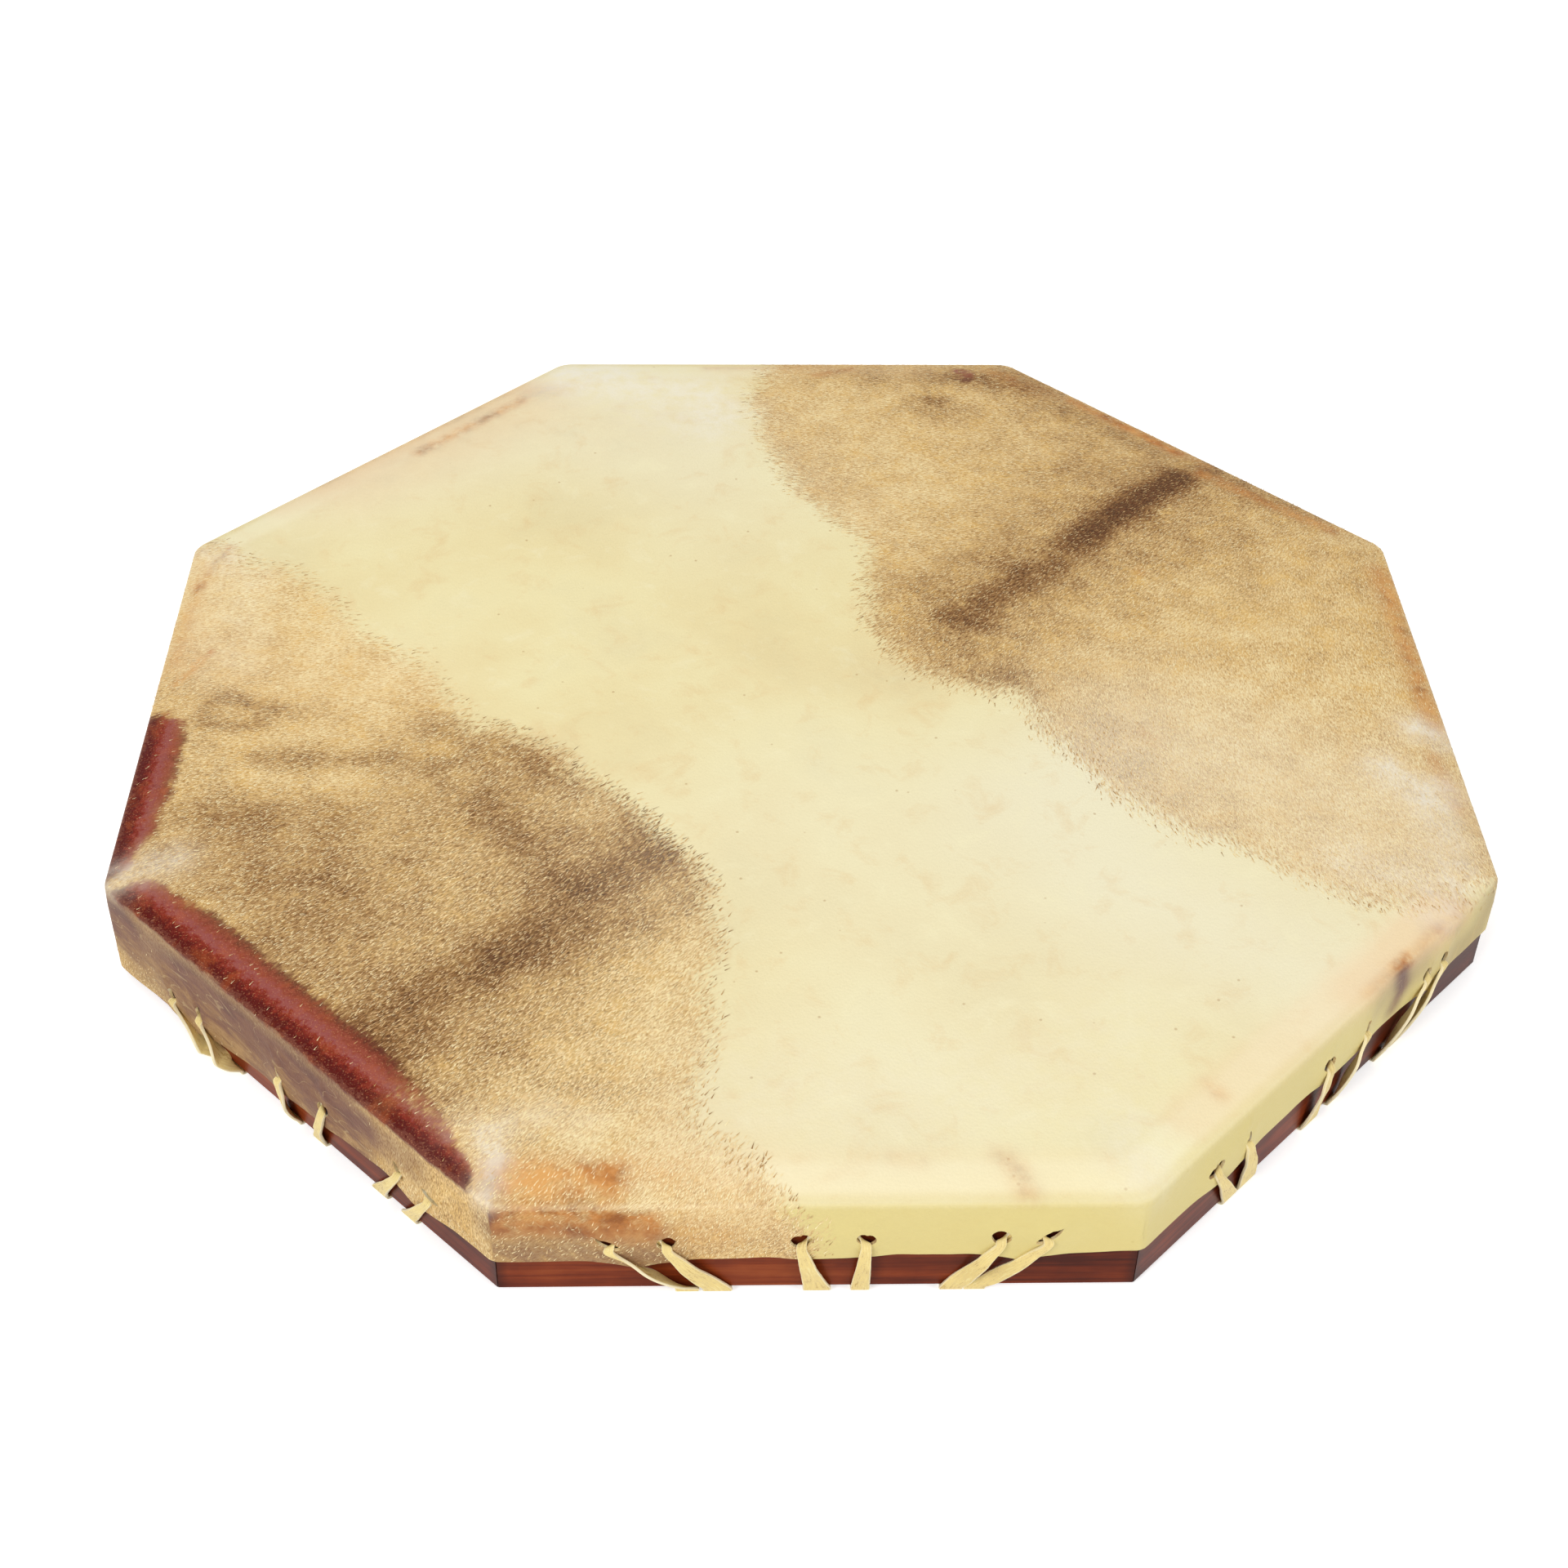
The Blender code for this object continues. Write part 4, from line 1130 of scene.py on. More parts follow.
def bare_colour(tree, hide, colours):
    """Cream of the bare hide: clouded and freckled, with a painted sheen on the bevel, and darker and
    yellower from just before the fold onto the skirt, partly the skirt's own tint and partly painted
    shade where the hide turns down.
    """
    cream = add_node(tree, RAMP, (hide["cream clouds"],), stops=(
        (0.30, "#e8d8a4"), (0.46, colours.bare_hide), (0.58, "#f2e5b1"), (0.72, "#ece0b0")))
    freckle_cells = add_node(tree, VORONOI, {"Vector": hide["flat"], "Scale": per(11 * MM)})
    # Painted sheen: a pale band over the middle of the bevel
    painted_sheen_rise = add_node(tree, RANGE, (hide["across"], 2 * MM, 6 * MM))
    painted_sheen_fall = add_node(tree, RANGE, (hide["across"], 13 * MM, 16 * MM, 0.4, 0.0))
    # Painted shade where the bevel turns into the fold, then the yellower cream of the skirt past it
    shade_towards_fold = add_node(tree, RANGE, (hide["across"], 14 * MM, 17.4 * MM, 0.0, 0.25))
    yellower_past_fold = add_node(tree, RANGE, (hide["across"], 17.6 * MM, 18.8 * MM, 0.0, 0.55))
    dull = add_node(tree, MATH, (hide["dullness"], 0.75), operation="MULTIPLY")
    brown = add_node(tree, RANGE, (hide["blotches"], 0.54, 0.76, 0.0, 0.40))
    pale = add_node(tree, RANGE, (hide["blotches"], 0.44, 0.30, 0.0, 0.45))
    freckles = add_node(tree, RANGE, (freckle_cells, 0.03, 0.06, 0.45, 0.0))
    painted_bevel_sheen = add_node(tree, MATH, (painted_sheen_rise, painted_sheen_fall), operation="MULTIPLY")
    yellower_and_shaded = add_node(tree, MATH, (shade_towards_fold, yellower_past_fold), operation="ADD")
    return lay_colours(tree, cream, (
        ("#f4edcf", dull), ("#e3bd83", brown), ("#f7eec4", pale), ("#a8793f", freckles),
        ("#fbf4cf", painted_bevel_sheen), ("#d9c77c", yellower_and_shaded)))


def haired_colour(tree, hide, colours):
    """Skin and lint of the haired parts, from straw to dark brown with the depth of tone."""
    tone = roughen(tree, hide["coat_tone"], hide["coat clouds"], 0.17)
    tone = roughen(tree, tone, hide["tufts"], 0.16)
    tone = add_node(tree, MATH, (tone, 0.07), operation="ADD")
    skin = add_node(tree, RAMP, (tone,), stops=(
        (0.0, "#e2bf80"), (0.25, "#c2975a"), (0.5, "#997342"), (0.75, "#6c4826"),
        (1.0, colours.dark_hide)))
    lint = add_node(tree, RAMP, (tone,), stops=(
        (0.0, "#fdecba"), (0.25, colours.tan_hide), (0.5, "#dab57c"), (0.75, "#a87c4c"),
        (1.0, "#7c5232")))
    linty = add_node(tree, RANGE, (hide["lint"], 0.41, 0.57))
    golden = add_node(tree, RANGE, (hide["gold clouds"], 0.47, 0.68, 0.0, 0.42))
    where_light = add_node(tree, RANGE, (tone, 0.75, 0.35))
    golden = add_node(tree, MATH, (golden, where_light), operation="MULTIPLY")
    dull = add_node(tree, MATH, (hide["dullness"], 0.5), operation="MULTIPLY")
    return lay_colours(tree, skin, ((lint, linty), ("#e8ba62", golden), ("#f3e6cb", dull)))


def grime_and_shade_colour(tree, hide):
    """Grime and painted mauve shade, darkest just under the fold, browner and paler down the skirt, in
    slanting smears.
    """
    down_skirt = add_node(tree, RANGE, (hide["across"], 17 * MM, 44 * MM, -0.1, 0.8))
    down_skirt = roughen(tree, down_skirt, hide["smears"], 0.3, 0.14)
    return add_node(tree, RAMP, (down_skirt,), stops=(
        (0.0, "#6a4842"), (0.25, "#775248"), (0.5, "#805c4b"), (0.75, "#926e50"),
        (1.0, "#ac885e")))


def scuff_amount(tree, hide):
    """Fine pale scratches in the grimy, shaded and amber places of the skirt."""
    lines = add_node(tree, MATH, (hide["scratches"], 0.5), operation="SUBTRACT")
    lines = add_node(tree, MATH, (lines,), operation="ABSOLUTE")
    lines = add_node(tree, RANGE, (lines, 0.003, 0.011, 0.28, 0.0))
    on_skirt = add_node(tree, RANGE, (hide["across"], 17 * MM, 20 * MM))
    scuffed = add_node(tree, MATH, (hide["grime"], hide["amber"]), operation="MAXIMUM")
    scuffed = add_node(tree, MATH, (scuffed, on_skirt), operation="MULTIPLY")
    return add_node(tree, MATH, (scuffed, lines), operation="MULTIPLY")


def stain_amount(tree, hide):
    """How much of the stained board shows through: broken at its edge, ended at the fold."""
    broken = hide["stain"]
    for texture, amount in (("fine clouds", 0.22), ("lint", 0.16), ("tufts", 0.12)):
        broken = roughen(tree, broken, hide[texture], amount)
    stain = add_node(tree, RANGE, (broken, 0.22, 0.62), interpolation_type="SMOOTHSTEP")
    firm = add_node(tree, MATH, (hide["stain"], 0.25), operation="POWER")
    stain = add_node(tree, MATH, (stain, firm), operation="MULTIPLY")
    folded = roughen(tree, hide["across"], hide["smears"], 1.2 * MM)
    before_fold = add_node(tree, RANGE, (folded, 18.8 * MM, 20.8 * MM, 1.0, 0.0))
    return add_node(tree, MATH, (stain, before_fold), operation="MULTIPLY")


def stain_and_painted_sheen_colour(tree, hide):
    """Red-brown board seen through oily hide, with a painted pinkish-mauve sheen down the middle of
    the bevel and deep red towards the fold, partly painted shade.
    """
    down_bevel = add_node(tree, MATH, (hide["across"], 17.5 * MM), operation="DIVIDE")
    down_bevel = roughen(tree, down_bevel, hide["mottle"], 0.14)
    # Stops 0.40 to 0.56 paint a pinkish-mauve sheen; the deep red from 0.70 to the fold is partly the
    # stain's own colour, partly painted shade where the bevel turns down
    seen = add_node(tree, RAMP, (down_bevel,), stops=(
        (0.12, "#5e2616"), (0.24, "#7c3420"), (0.40, "#944632"), (0.56, "#96504a"),
        (0.70, "#862a18"), (0.86, "#5a0a02"), (0.98, "#540c03"), (1.08, "#6e3528")))
    return lay_colours(tree, seen, (
        ("#b4582a", add_node(tree, RANGE, (hide["gold clouds"], 0.52, 0.68, 0.0, 0.4))),
        ("#4c140b", add_node(tree, RANGE, (hide["fine clouds"], 0.46, 0.34, 0.0, 0.25)))))


def fold_wear_and_highlight(tree, hide, stain):
    """How much the fold is rubbed pale and given a painted highlight, less where it is stained, grimy
    and shaded.
    """
    from_fold = add_node(tree, MATH, (hide["across"], 18.6 * MM), operation="SUBTRACT")
    from_fold = add_node(tree, MATH, (from_fold,), operation="ABSOLUTE")
    from_fold = roughen(tree, from_fold, hide["mottle"], 0.5 * MM)
    # Pale line along the fold: partly rubbed wear, partly a painted highlight
    rubbed_and_highlit = add_node(tree, RANGE, (from_fold, 0.2 * MM, 1.6 * MM, 0.12, 0.0))
    soiled_and_shaded = add_node(tree, MATH, (stain, hide["grime"]), operation="MAXIMUM")
    clear_of_stain_and_shade = add_node(tree, MATH, (1.1, soiled_and_shaded), operation="SUBTRACT")
    return add_node(tree, MATH, (rubbed_and_highlit, clear_of_stain_and_shade), operation="MULTIPLY")


def rawhide_material(colours):
    """Scraped goat rawhide, grain side, dried taut: waxy cream with freckles, tan under the
    hair, and thin enough over the bevels for the stained wood to show. Slightly glossy, with the
    fine pebble of the grain."""
    material, tree, shader = new_material("rawhide grain side")
    hide = hide_textures(tree)
    frayed = roughen(tree, hide["hair_depth"], hide["tufts"], 5.0)
    frayed = roughen(tree, frayed, hide["lint"], 3.0)
    coat = add_node(tree, RANGE, (frayed, -1.0, 9.0), interpolation_type="SMOOTHSTEP")
    flush = add_node(tree, MATH, (hide["warmth"], 0.6), operation="MULTIPLY")
    soaked = add_node(tree, RANGE, (hide["fine clouds"], 0.34, 0.56, 0.35, 1.1))
    soaked = add_node(tree, MATH, (hide["amber"], soaked), operation="MULTIPLY")
    soaked = add_node(tree, MATH, (soaked, 0.92), operation="MINIMUM")
    amber = add_node(tree, RAMP, (hide["coat clouds"],), stops=(
        (0.36, "#8f4d1d"), (0.48, "#c27c3c"), (0.60, "#e3a660")))
    # Grime and painted mauve shade on the skirt
    grimy_and_shaded = add_node(tree, MATH, (hide["grime"], 0.95), operation="MULTIPLY")
    stain = stain_amount(tree, hide)
    # Light specks over the stain: partly grit, partly painted glints on the glossy bevel
    grit_and_glints = add_node(tree, RANGE, (hide["grit_and_glints"], 0.60, 0.70, 0.0, 0.36))
    grit_and_glints = add_node(tree, MATH, (grit_and_glints, stain), operation="MULTIPLY")
    # Chalky patches, with painted glare at the front corners
    chalk_and_glare_share = add_node(tree, RANGE, (hide["fine clouds"], 0.36, 0.6, 0.35, 1.0))
    chalk_and_glare_share = add_node(tree, MATH, (hide["chalk"], chalk_and_glare_share), operation="MULTIPLY")
    chalk_and_glare_share = add_node(tree, MATH, (chalk_and_glare_share, 0.8), operation="MULTIPLY")
    colour = lay_colours(tree, bare_colour(tree, hide, colours), (
        (haired_colour(tree, hide, colours), coat), ("#f2cfa2", flush), (amber, soaked),
        (grime_and_shade_colour(tree, hide), grimy_and_shaded), (stain_and_painted_sheen_colour(tree, hide), stain),
        ("#dc9c6c", grit_and_glints), ("#dcc690", scuff_amount(tree, hide)), ("#f6f0df", chalk_and_glare_share),
        ("#fbf2d6", fold_wear_and_highlight(tree, hide, stain))))

    pebble = add_node(tree, VORONOI, {"Vector": hide["flat"], "Scale": per(0.9 * MM)})
    relief = add_node(tree, MATH, (hide["lint"], coat), operation="MULTIPLY")
    relief = add_node(tree, MATH, (relief, 0.55), operation="MULTIPLY")
    relief = add_node(tree, MATH, (pebble, 0.5, relief), operation="MULTIPLY_ADD")
    bump = add_node(tree, BUMP, {"Strength": 0.55, "Distance": 0.3 * MM, "Height": relief})
    set_inputs(tree, shader, {
        "Base Color": colour, "Normal": bump,
        "Roughness": add_node(tree, RANGE, (stain, 0.0, 1.0, 0.50, 0.34)),
        "Specular IOR Level": add_node(tree, RANGE, (coat, 0.0, 1.0, 0.24, 0.08))})
    return material


def flesh_side_material():
    """Flesh side of the rawhide, seen from under the drum: fibrous, matt and slightly darker,
    with the coat showing faintly through."""
    material, tree, shader = new_material("rawhide flesh side")
    hide = read_facts(tree, "flat", "coat_tone", "hair_depth")
    clouds = add_node(tree, NOISE, {
        "Vector": hide["flat"], "Scale": per(30 * MM), "Detail": 5.0, "Roughness": 0.6})
    colour = add_node(tree, RAMP, (clouds,), stops=(
        (0.3, "#cdb583"), (0.5, "#dcc896"), (0.7, "#e6d6aa")))
    haired = add_node(tree, RANGE, (hide["hair_depth"], -4.0, 8.0))
    shade = add_node(tree, MATH, (hide["coat_tone"], haired), operation="MULTIPLY")
    shade = add_node(tree, MATH, (shade, 0.55), operation="MULTIPLY")
    colour = lay_colours(tree, colour, (("#8e6c45", shade),))
    fibres = add_node(tree, NOISE, {
        "Vector": hide["flat"], "Scale": per(1.5 * MM), "Detail": 4.0, "Roughness": 0.7})
    bump = add_node(tree, BUMP, {"Strength": 0.5, "Distance": 0.2 * MM, "Height": fibres})
    set_inputs(tree, shader, {"Base Color": colour, "Normal": bump, "Roughness": 0.7})
    return material


def cut_edge_material():
    """Cut edge of the rawhide, which knife and punch leave pale and horny."""
    material, tree, shader = new_material("rawhide cut edge")
    clouds = add_node(tree, NOISE, {
        "Vector": read_facts(tree, "flat")["flat"], "Scale": per(4 * MM), "Detail": 4.0,
        "Roughness": 0.6})
    colour = add_node(tree, RAMP, (clouds,), stops=(
        (0.36, "#c3a06e"), (0.50, "#e6cf9a"), (0.64, "#f3e6c3")))
    set_inputs(tree, shader, {"Base Color": colour, "Roughness": 0.45})
    return material


def hair_material(colours):
    """Goat hair scraped to a stubble: each tuft has its own tone, and its tip is bleached."""
    material, tree, shader = new_material("scraped goat hair")
    lay = add_node(tree, "ShaderNodeUVMap", uv_map=TONE_MAP)
    places = add_node(tree, "ShaderNodeSeparateXYZ", (lay,)).node.outputs
    tone = add_node(tree, RAMP, (places["X"],), stops=(
        (0.0, colours.light_hair), (0.25, "#efd29a"), (0.5, colours.tan_hair),
        (0.75, "#92693e"), (1.0, colours.dark_hair)))
    bleached = add_node(tree, MATH, (places["Y"], 0.16), operation="MULTIPLY")
    colour = lay_colours(tree, tone, ((colours.light_hair, bleached),))
    set_inputs(tree, shader, {"Base Color": colour, "Roughness": 0.5, "Specular IOR Level": 0.1})
    return material


def new_tree(name, inputs, output):
    """A tree with named inputs, given with their kinds. Returns it with its inputs' sockets."""
    tree = bpy.data.node_groups.new(name, "GeometryNodeTree")
    for label, kind in inputs:
        tree.interface.new_socket(label, in_out="INPUT", socket_type="NodeSocket" + kind)
    tree.interface.new_socket(output, in_out="OUTPUT", socket_type="NodeSocketGeometry")
    return tree, tree.nodes.new("NodeGroupInput").outputs


def end_tree(tree, made, material):
    """End a tree with what it made as a plain mesh in its material."""
    whole = add_node(tree, "GeometryNodeRealizeInstances", (made,))
    finished = add_node(tree, "GeometryNodeSetMaterial", {"Geometry": whole, "Material": material})
    set_inputs(tree, tree.nodes.new("NodeGroupOutput"), (finished,))
    return tree


def run_tree(name, mesh, tree, values):
    """The plain mesh that a tree makes of a mesh, with the tree's named inputs set."""
    carrier = link(bpy.data.objects.new(name, mesh))
    modifier = carrier.modifiers.new(name, "NODES")
    modifier.node_group = tree
    for item in tree.interface.items_tree:
        if item.name in values and item.in_out == "INPUT":
            modifier[item.identifier] = values[item.name]
    return evaluated_mesh(carrier)


def hair_tree(material):
    """Plant tufts on the hide, lying along its comb direction, each with its own tone."""
    tree, given = new_tree("plant hair", (
        ("Hide", "Geometry"), ("Tufts per square metre", "Float"), ("Tuft length", "Float"),
        ("Tuft width", "Float"), ("Seed", "Int")), "Hair")
    cover, fringe, coat_tone, comb = (
        add_node(tree, "GeometryNodeInputNamedAttribute", {"Name": name}, data_type=kind)
        for name, kind in (("cover", "FLOAT"), ("fringe", "FLOAT"), ("coat_tone", "FLOAT"),
                           ("comb", "FLOAT_VECTOR")))
    density = add_node(
        tree, MATH, (given["Tufts per square metre"], cover), operation="MULTIPLY")
    scatter = add_node(tree, "GeometryNodeDistributePointsOnFaces", {
        "Mesh": given["Hide"], "Seed": given["Seed"], "Density": density}).node.outputs

    cone = add_node(tree, "GeometryNodeMeshCone", {
        "Vertices": 3, "Radius Top": 0.0, "Radius Bottom": 0.5, "Depth": 1.0})
    laid = add_node(tree, "GeometryNodeTransform", {"Geometry": cone, "Rotation": (0, pi / 2, 0)})
    along = add_node(tree, "ShaderNodeSeparateXYZ", (add_node(tree, "GeometryNodeInputPosition"),))
    tuft = add_node(tree, "GeometryNodeStoreNamedAttribute", {
        "Geometry": laid, "Name": "root_to_tip", "Value": along}, data_type="FLOAT",
        domain="POINT")

    upright = add_node(tree, "FunctionNodeAlignRotationToVector", {
        "Vector": scatter["Normal"]}, axis="Z")
    combed = add_node(tree, "FunctionNodeAlignRotationToVector", {
        "Rotation": upright, "Vector": comb}, axis="X", pivot_axis="Z")
    sway = add_node(tree, RANDOM, {
        0: (0.0, radians(-9), radians(-24)), 1: (0.0, radians(-2), radians(24)), "Seed": 5},
        data_type="FLOAT_VECTOR")
    swayed = add_node(tree, "FunctionNodeRotateRotation", {
        "Rotation": combed, "Rotate By": sway}, rotation_space="LOCAL")

    longer = add_node(tree, MATH, (fringe, 0.5, 1.0), operation="MULTIPLY_ADD")
    wider = add_node(tree, MATH, (fringe, 0.4, 1.0), operation="MULTIPLY_ADD")
    growth = add_node(tree, RANDOM, {2: 0.55, 3: 1.35, "Seed": 8}, 1)
    growth = add_node(tree, MATH, (growth, longer), operation="MULTIPLY")
    length = add_node(tree, MATH, (given["Tuft length"], growth), operation="MULTIPLY")
    breadth = add_node(tree, RANDOM, {2: 0.7, 3: 1.3, "Seed": 9}, 1)
    breadth = add_node(tree, MATH, (breadth, wider), operation="MULTIPLY")
    width = add_node(tree, MATH, (given["Tuft width"], breadth), operation="MULTIPLY")
    thickness = add_node(tree, MATH, (width, 0.3), operation="MULTIPLY")
    size = add_node(tree, "ShaderNodeCombineXYZ", (length, width, thickness))
    planted = add_node(tree, "GeometryNodeInstanceOnPoints", {
        "Points": scatter["Points"], "Instance": tuft, "Rotation": swayed, "Scale": size})

    chance = add_node(tree, RANDOM, {2: -0.66, 3: 0.20, "Seed": 11}, 1)
    base = add_node(tree, MATH, (coat_tone, 0.2), operation="MAXIMUM")
    base = add_node(tree, MATH, (base, chance), operation="ADD")
    tone = add_node(tree, MATH, (fringe, 0.34, base), operation="MULTIPLY_ADD")
    toned = add_node(tree, "GeometryNodeStoreNamedAttribute", {
        "Geometry": planted, "Name": "tone", "Value": tone}, data_type="FLOAT",
        domain="INSTANCE")
    return end_tree(tree, toned, material)


def hair_part(hide, left):
    """A copy of the haired faces on one half of the hide."""
    mesh = hide.copy()
    bm = bmesh.new()
    bm.from_mesh(mesh)
    depth = bm.verts.layers.float["hair_depth"]
    gone = []
    for face in bm.faces:
        middle = face.calc_center_median()
        bare = all(v[depth] < -3 for v in face.verts)
        if bare or (middle.x + middle.y < 0) != left:
            gone.append(face)
    bmesh.ops.delete(bm, geom=gone, context="FACES")
    bm.to_mesh(mesh)
    bm.free()
    return mesh


def covered_area(mesh):
    """Area of a mesh, weighed by how much hair covers each face."""
    cover = get_attribute(mesh, "cover")
    return sum(p.area * float(np.mean([cover[v] for v in p.vertices])) for p in mesh.polygons)


def map_tones(mesh):
    """Lay each tuft on a map: across by its tone, and up from root to tip."""
    tone = get_attribute(mesh, "tone")
    tip = get_attribute(mesh, "root_to_tip")
    corners = np.zeros(len(mesh.loops), np.int32)
    mesh.loops.foreach_get("vertex_index", corners)
    side_step = 0.004 * (np.arange(len(corners)) % 3 - 1)
    across = np.clip(tone[corners], 0.01, 0.99) + side_step
    up = 0.01 + 0.98 * np.clip(tip[corners], 0, 1)
    for layer in list(mesh.uv_layers):
        mesh.uv_layers.remove(layer)
    layer = mesh.uv_layers.new(name=TONE_MAP)
    layer.uv.foreach_set("vector", np.column_stack((across, up)).astype(np.float32).ravel())
    for name in [a.name for a in mesh.attributes]:
        layer = mesh.attributes.get(name)
        if name != TONE_MAP and layer and not layer.is_required and not layer.is_internal:
            mesh.attributes.remove(layer)


# Laces, bindings and knot


def lace_material(name, face, shade):
    """Rawhide cut in long thongs: a waxy straw face with a suede nap, paler cut edges."""
    material, tree, shader = new_material(name)
    place = add_node(tree, TEXTURE_PLACE, out="Object")
    strap = read_facts(tree, "along_strap", "across_strap")
    across = strap["across_strap"]
    flat = add_node(tree, "ShaderNodeCombineXYZ", (strap["along_strap"], across))
    fibres = add_node(tree, MAPPING, {"Vector": flat, "Scale": (0.18, 0.0035, 1.0)})
    streaks = add_node(tree, NOISE, {
        "Vector": fibres, "Scale": per(0.7 * MM), "Detail": 3.0, "Roughness": 0.6})
    nap = add_node(tree, NOISE, {
        "Vector": place, "Scale": per(0.55 * MM), "Detail": 2.0, "Roughness": 0.7})
    patches = add_node(tree, NOISE, {"Vector": place, "Scale": per(9 * MM), "Detail": 3.0})
    height = add_node(tree, MATH, (streaks, 0.7), operation="MULTIPLY")
    height = add_node(tree, MATH, (nap, 0.3, height), operation="MULTIPLY_ADD")
    colour = add_node(tree, RAMP, (roughen(tree, height, patches, 0.08),), stops=(
        (0.32, shade), (0.44, face), (0.56, "#eed68c"), (0.70, "#f7e7ab")))
    from_middle = add_node(tree, MATH, (across,), operation="ABSOLUTE")
    cut = add_node(tree, RANGE, (from_middle, 0.86, 0.97, 0.0, 0.85))
    colour = lay_colours(tree, colour, (("#fbf0cc", cut),))
    bump = add_node(tree, BUMP, {"Strength": 0.5, "Distance": 0.2 * MM, "Height": height})
    set_inputs(tree, shader, {
        "Base Color": colour, "Normal": bump, "Roughness": 0.5, "Specular IOR Level": 0.3})
    return material


def smooth_stations(stations, steps):
    """More stations between the given ones, on a smooth curve through them."""
    rows = np.array([np.concatenate(station) for station in stations])
    padded = np.vstack((2 * rows[0] - rows[1], rows, 2 * rows[-1] - rows[-2]))
    found = []
    for index in range(1, len(padded) - 2):
        before, start, end, after = padded[index - 1:index + 3]
        gap = np.linalg.norm(end[:3] - start[:3])
        lead = np.linalg.norm(start[:3] - before[:3])
        tail = np.linalg.norm(after[:3] - end[:3])
        leave = (end - before) / (gap + lead) * gap
        arrive = (after - start) / (gap + tail) * gap
        for step in range(steps):
            t = step / steps
            found.append(
                (2 * t ** 3 - 3 * t ** 2 + 1) * start + (t ** 3 - 2 * t ** 2 + t) * leave
                + (3 * t ** 2 - 2 * t ** 3) * end + (t ** 3 - t ** 2) * arrive)
    found.append(rows[-1])
    return [(row[:3], row[3:6], row[6:9]) for row in found]


def strap_mesh(name, stations, seed):
    """A flat strap through stations: a centre, half its width and half its thickness."""
    vertices = []
    count = len(STRAP_SECTION)
    along = 0.0
    ways = []
    for index, (centre, across, outer) in enumerate(stations):
        if index:
            along += float(np.linalg.norm(centre - stations[index - 1][0]))
        ways.append(along)
        uneven = 1 + 0.05 * noise.noise(Vector((along * 90, seed, 0)))
        for a, b in STRAP_SECTION:
            nick = 1 + 0.035 * noise.noise(Vector((along * 500, seed, 2 * a)))
            place = centre + across * a * uneven * nick + outer * b
            vertices.append((place[0], place[1], max(place[2], FLOOR_GAP)))
    faces = [tuple(range(count))[::-1]]
    for row in range(len(stations) - 1):
        for corner in range(count):
            beside = (corner + 1) % count
            faces.append((
                row * count + corner, row * count + beside,
                (row + 1) * count + beside, (row + 1) * count + corner))
    faces.append(tuple(range((len(stations) - 1) * count, len(stations) * count)))
    mesh = bpy.data.meshes.new(name)
    mesh.from_pydata(vertices, [], faces)
    set_attribute(mesh, "along_strap", np.repeat(ways, count))
    set_attribute(mesh, "across_strap", [a for a, b in STRAP_SECTION] * len(stations))
    point_outward(mesh)
    smooth_by_angle(mesh, 40)
    return mesh


def point_outward(mesh):
    bm = bmesh.new()
    bm.from_mesh(mesh)
    bmesh.ops.recalc_face_normals(bm, faces=bm.faces)
    bm.to_mesh(mesh)
    bm.free()


def turned(across, outer, angle):
    """Width and thickness of a strap after a turn about its length."""
    across, outer = np.array(across), np.array(outer)
    half_width, half_thickness = np.linalg.norm(across), np.linalg.norm(outer)
    wide, thick = across / half_width, outer / half_thickness
    return (
        (wide * cos(angle) + thick * sin(angle)) * half_width,
        (thick * cos(angle) - wide * sin(angle)) * half_thickness,
    )


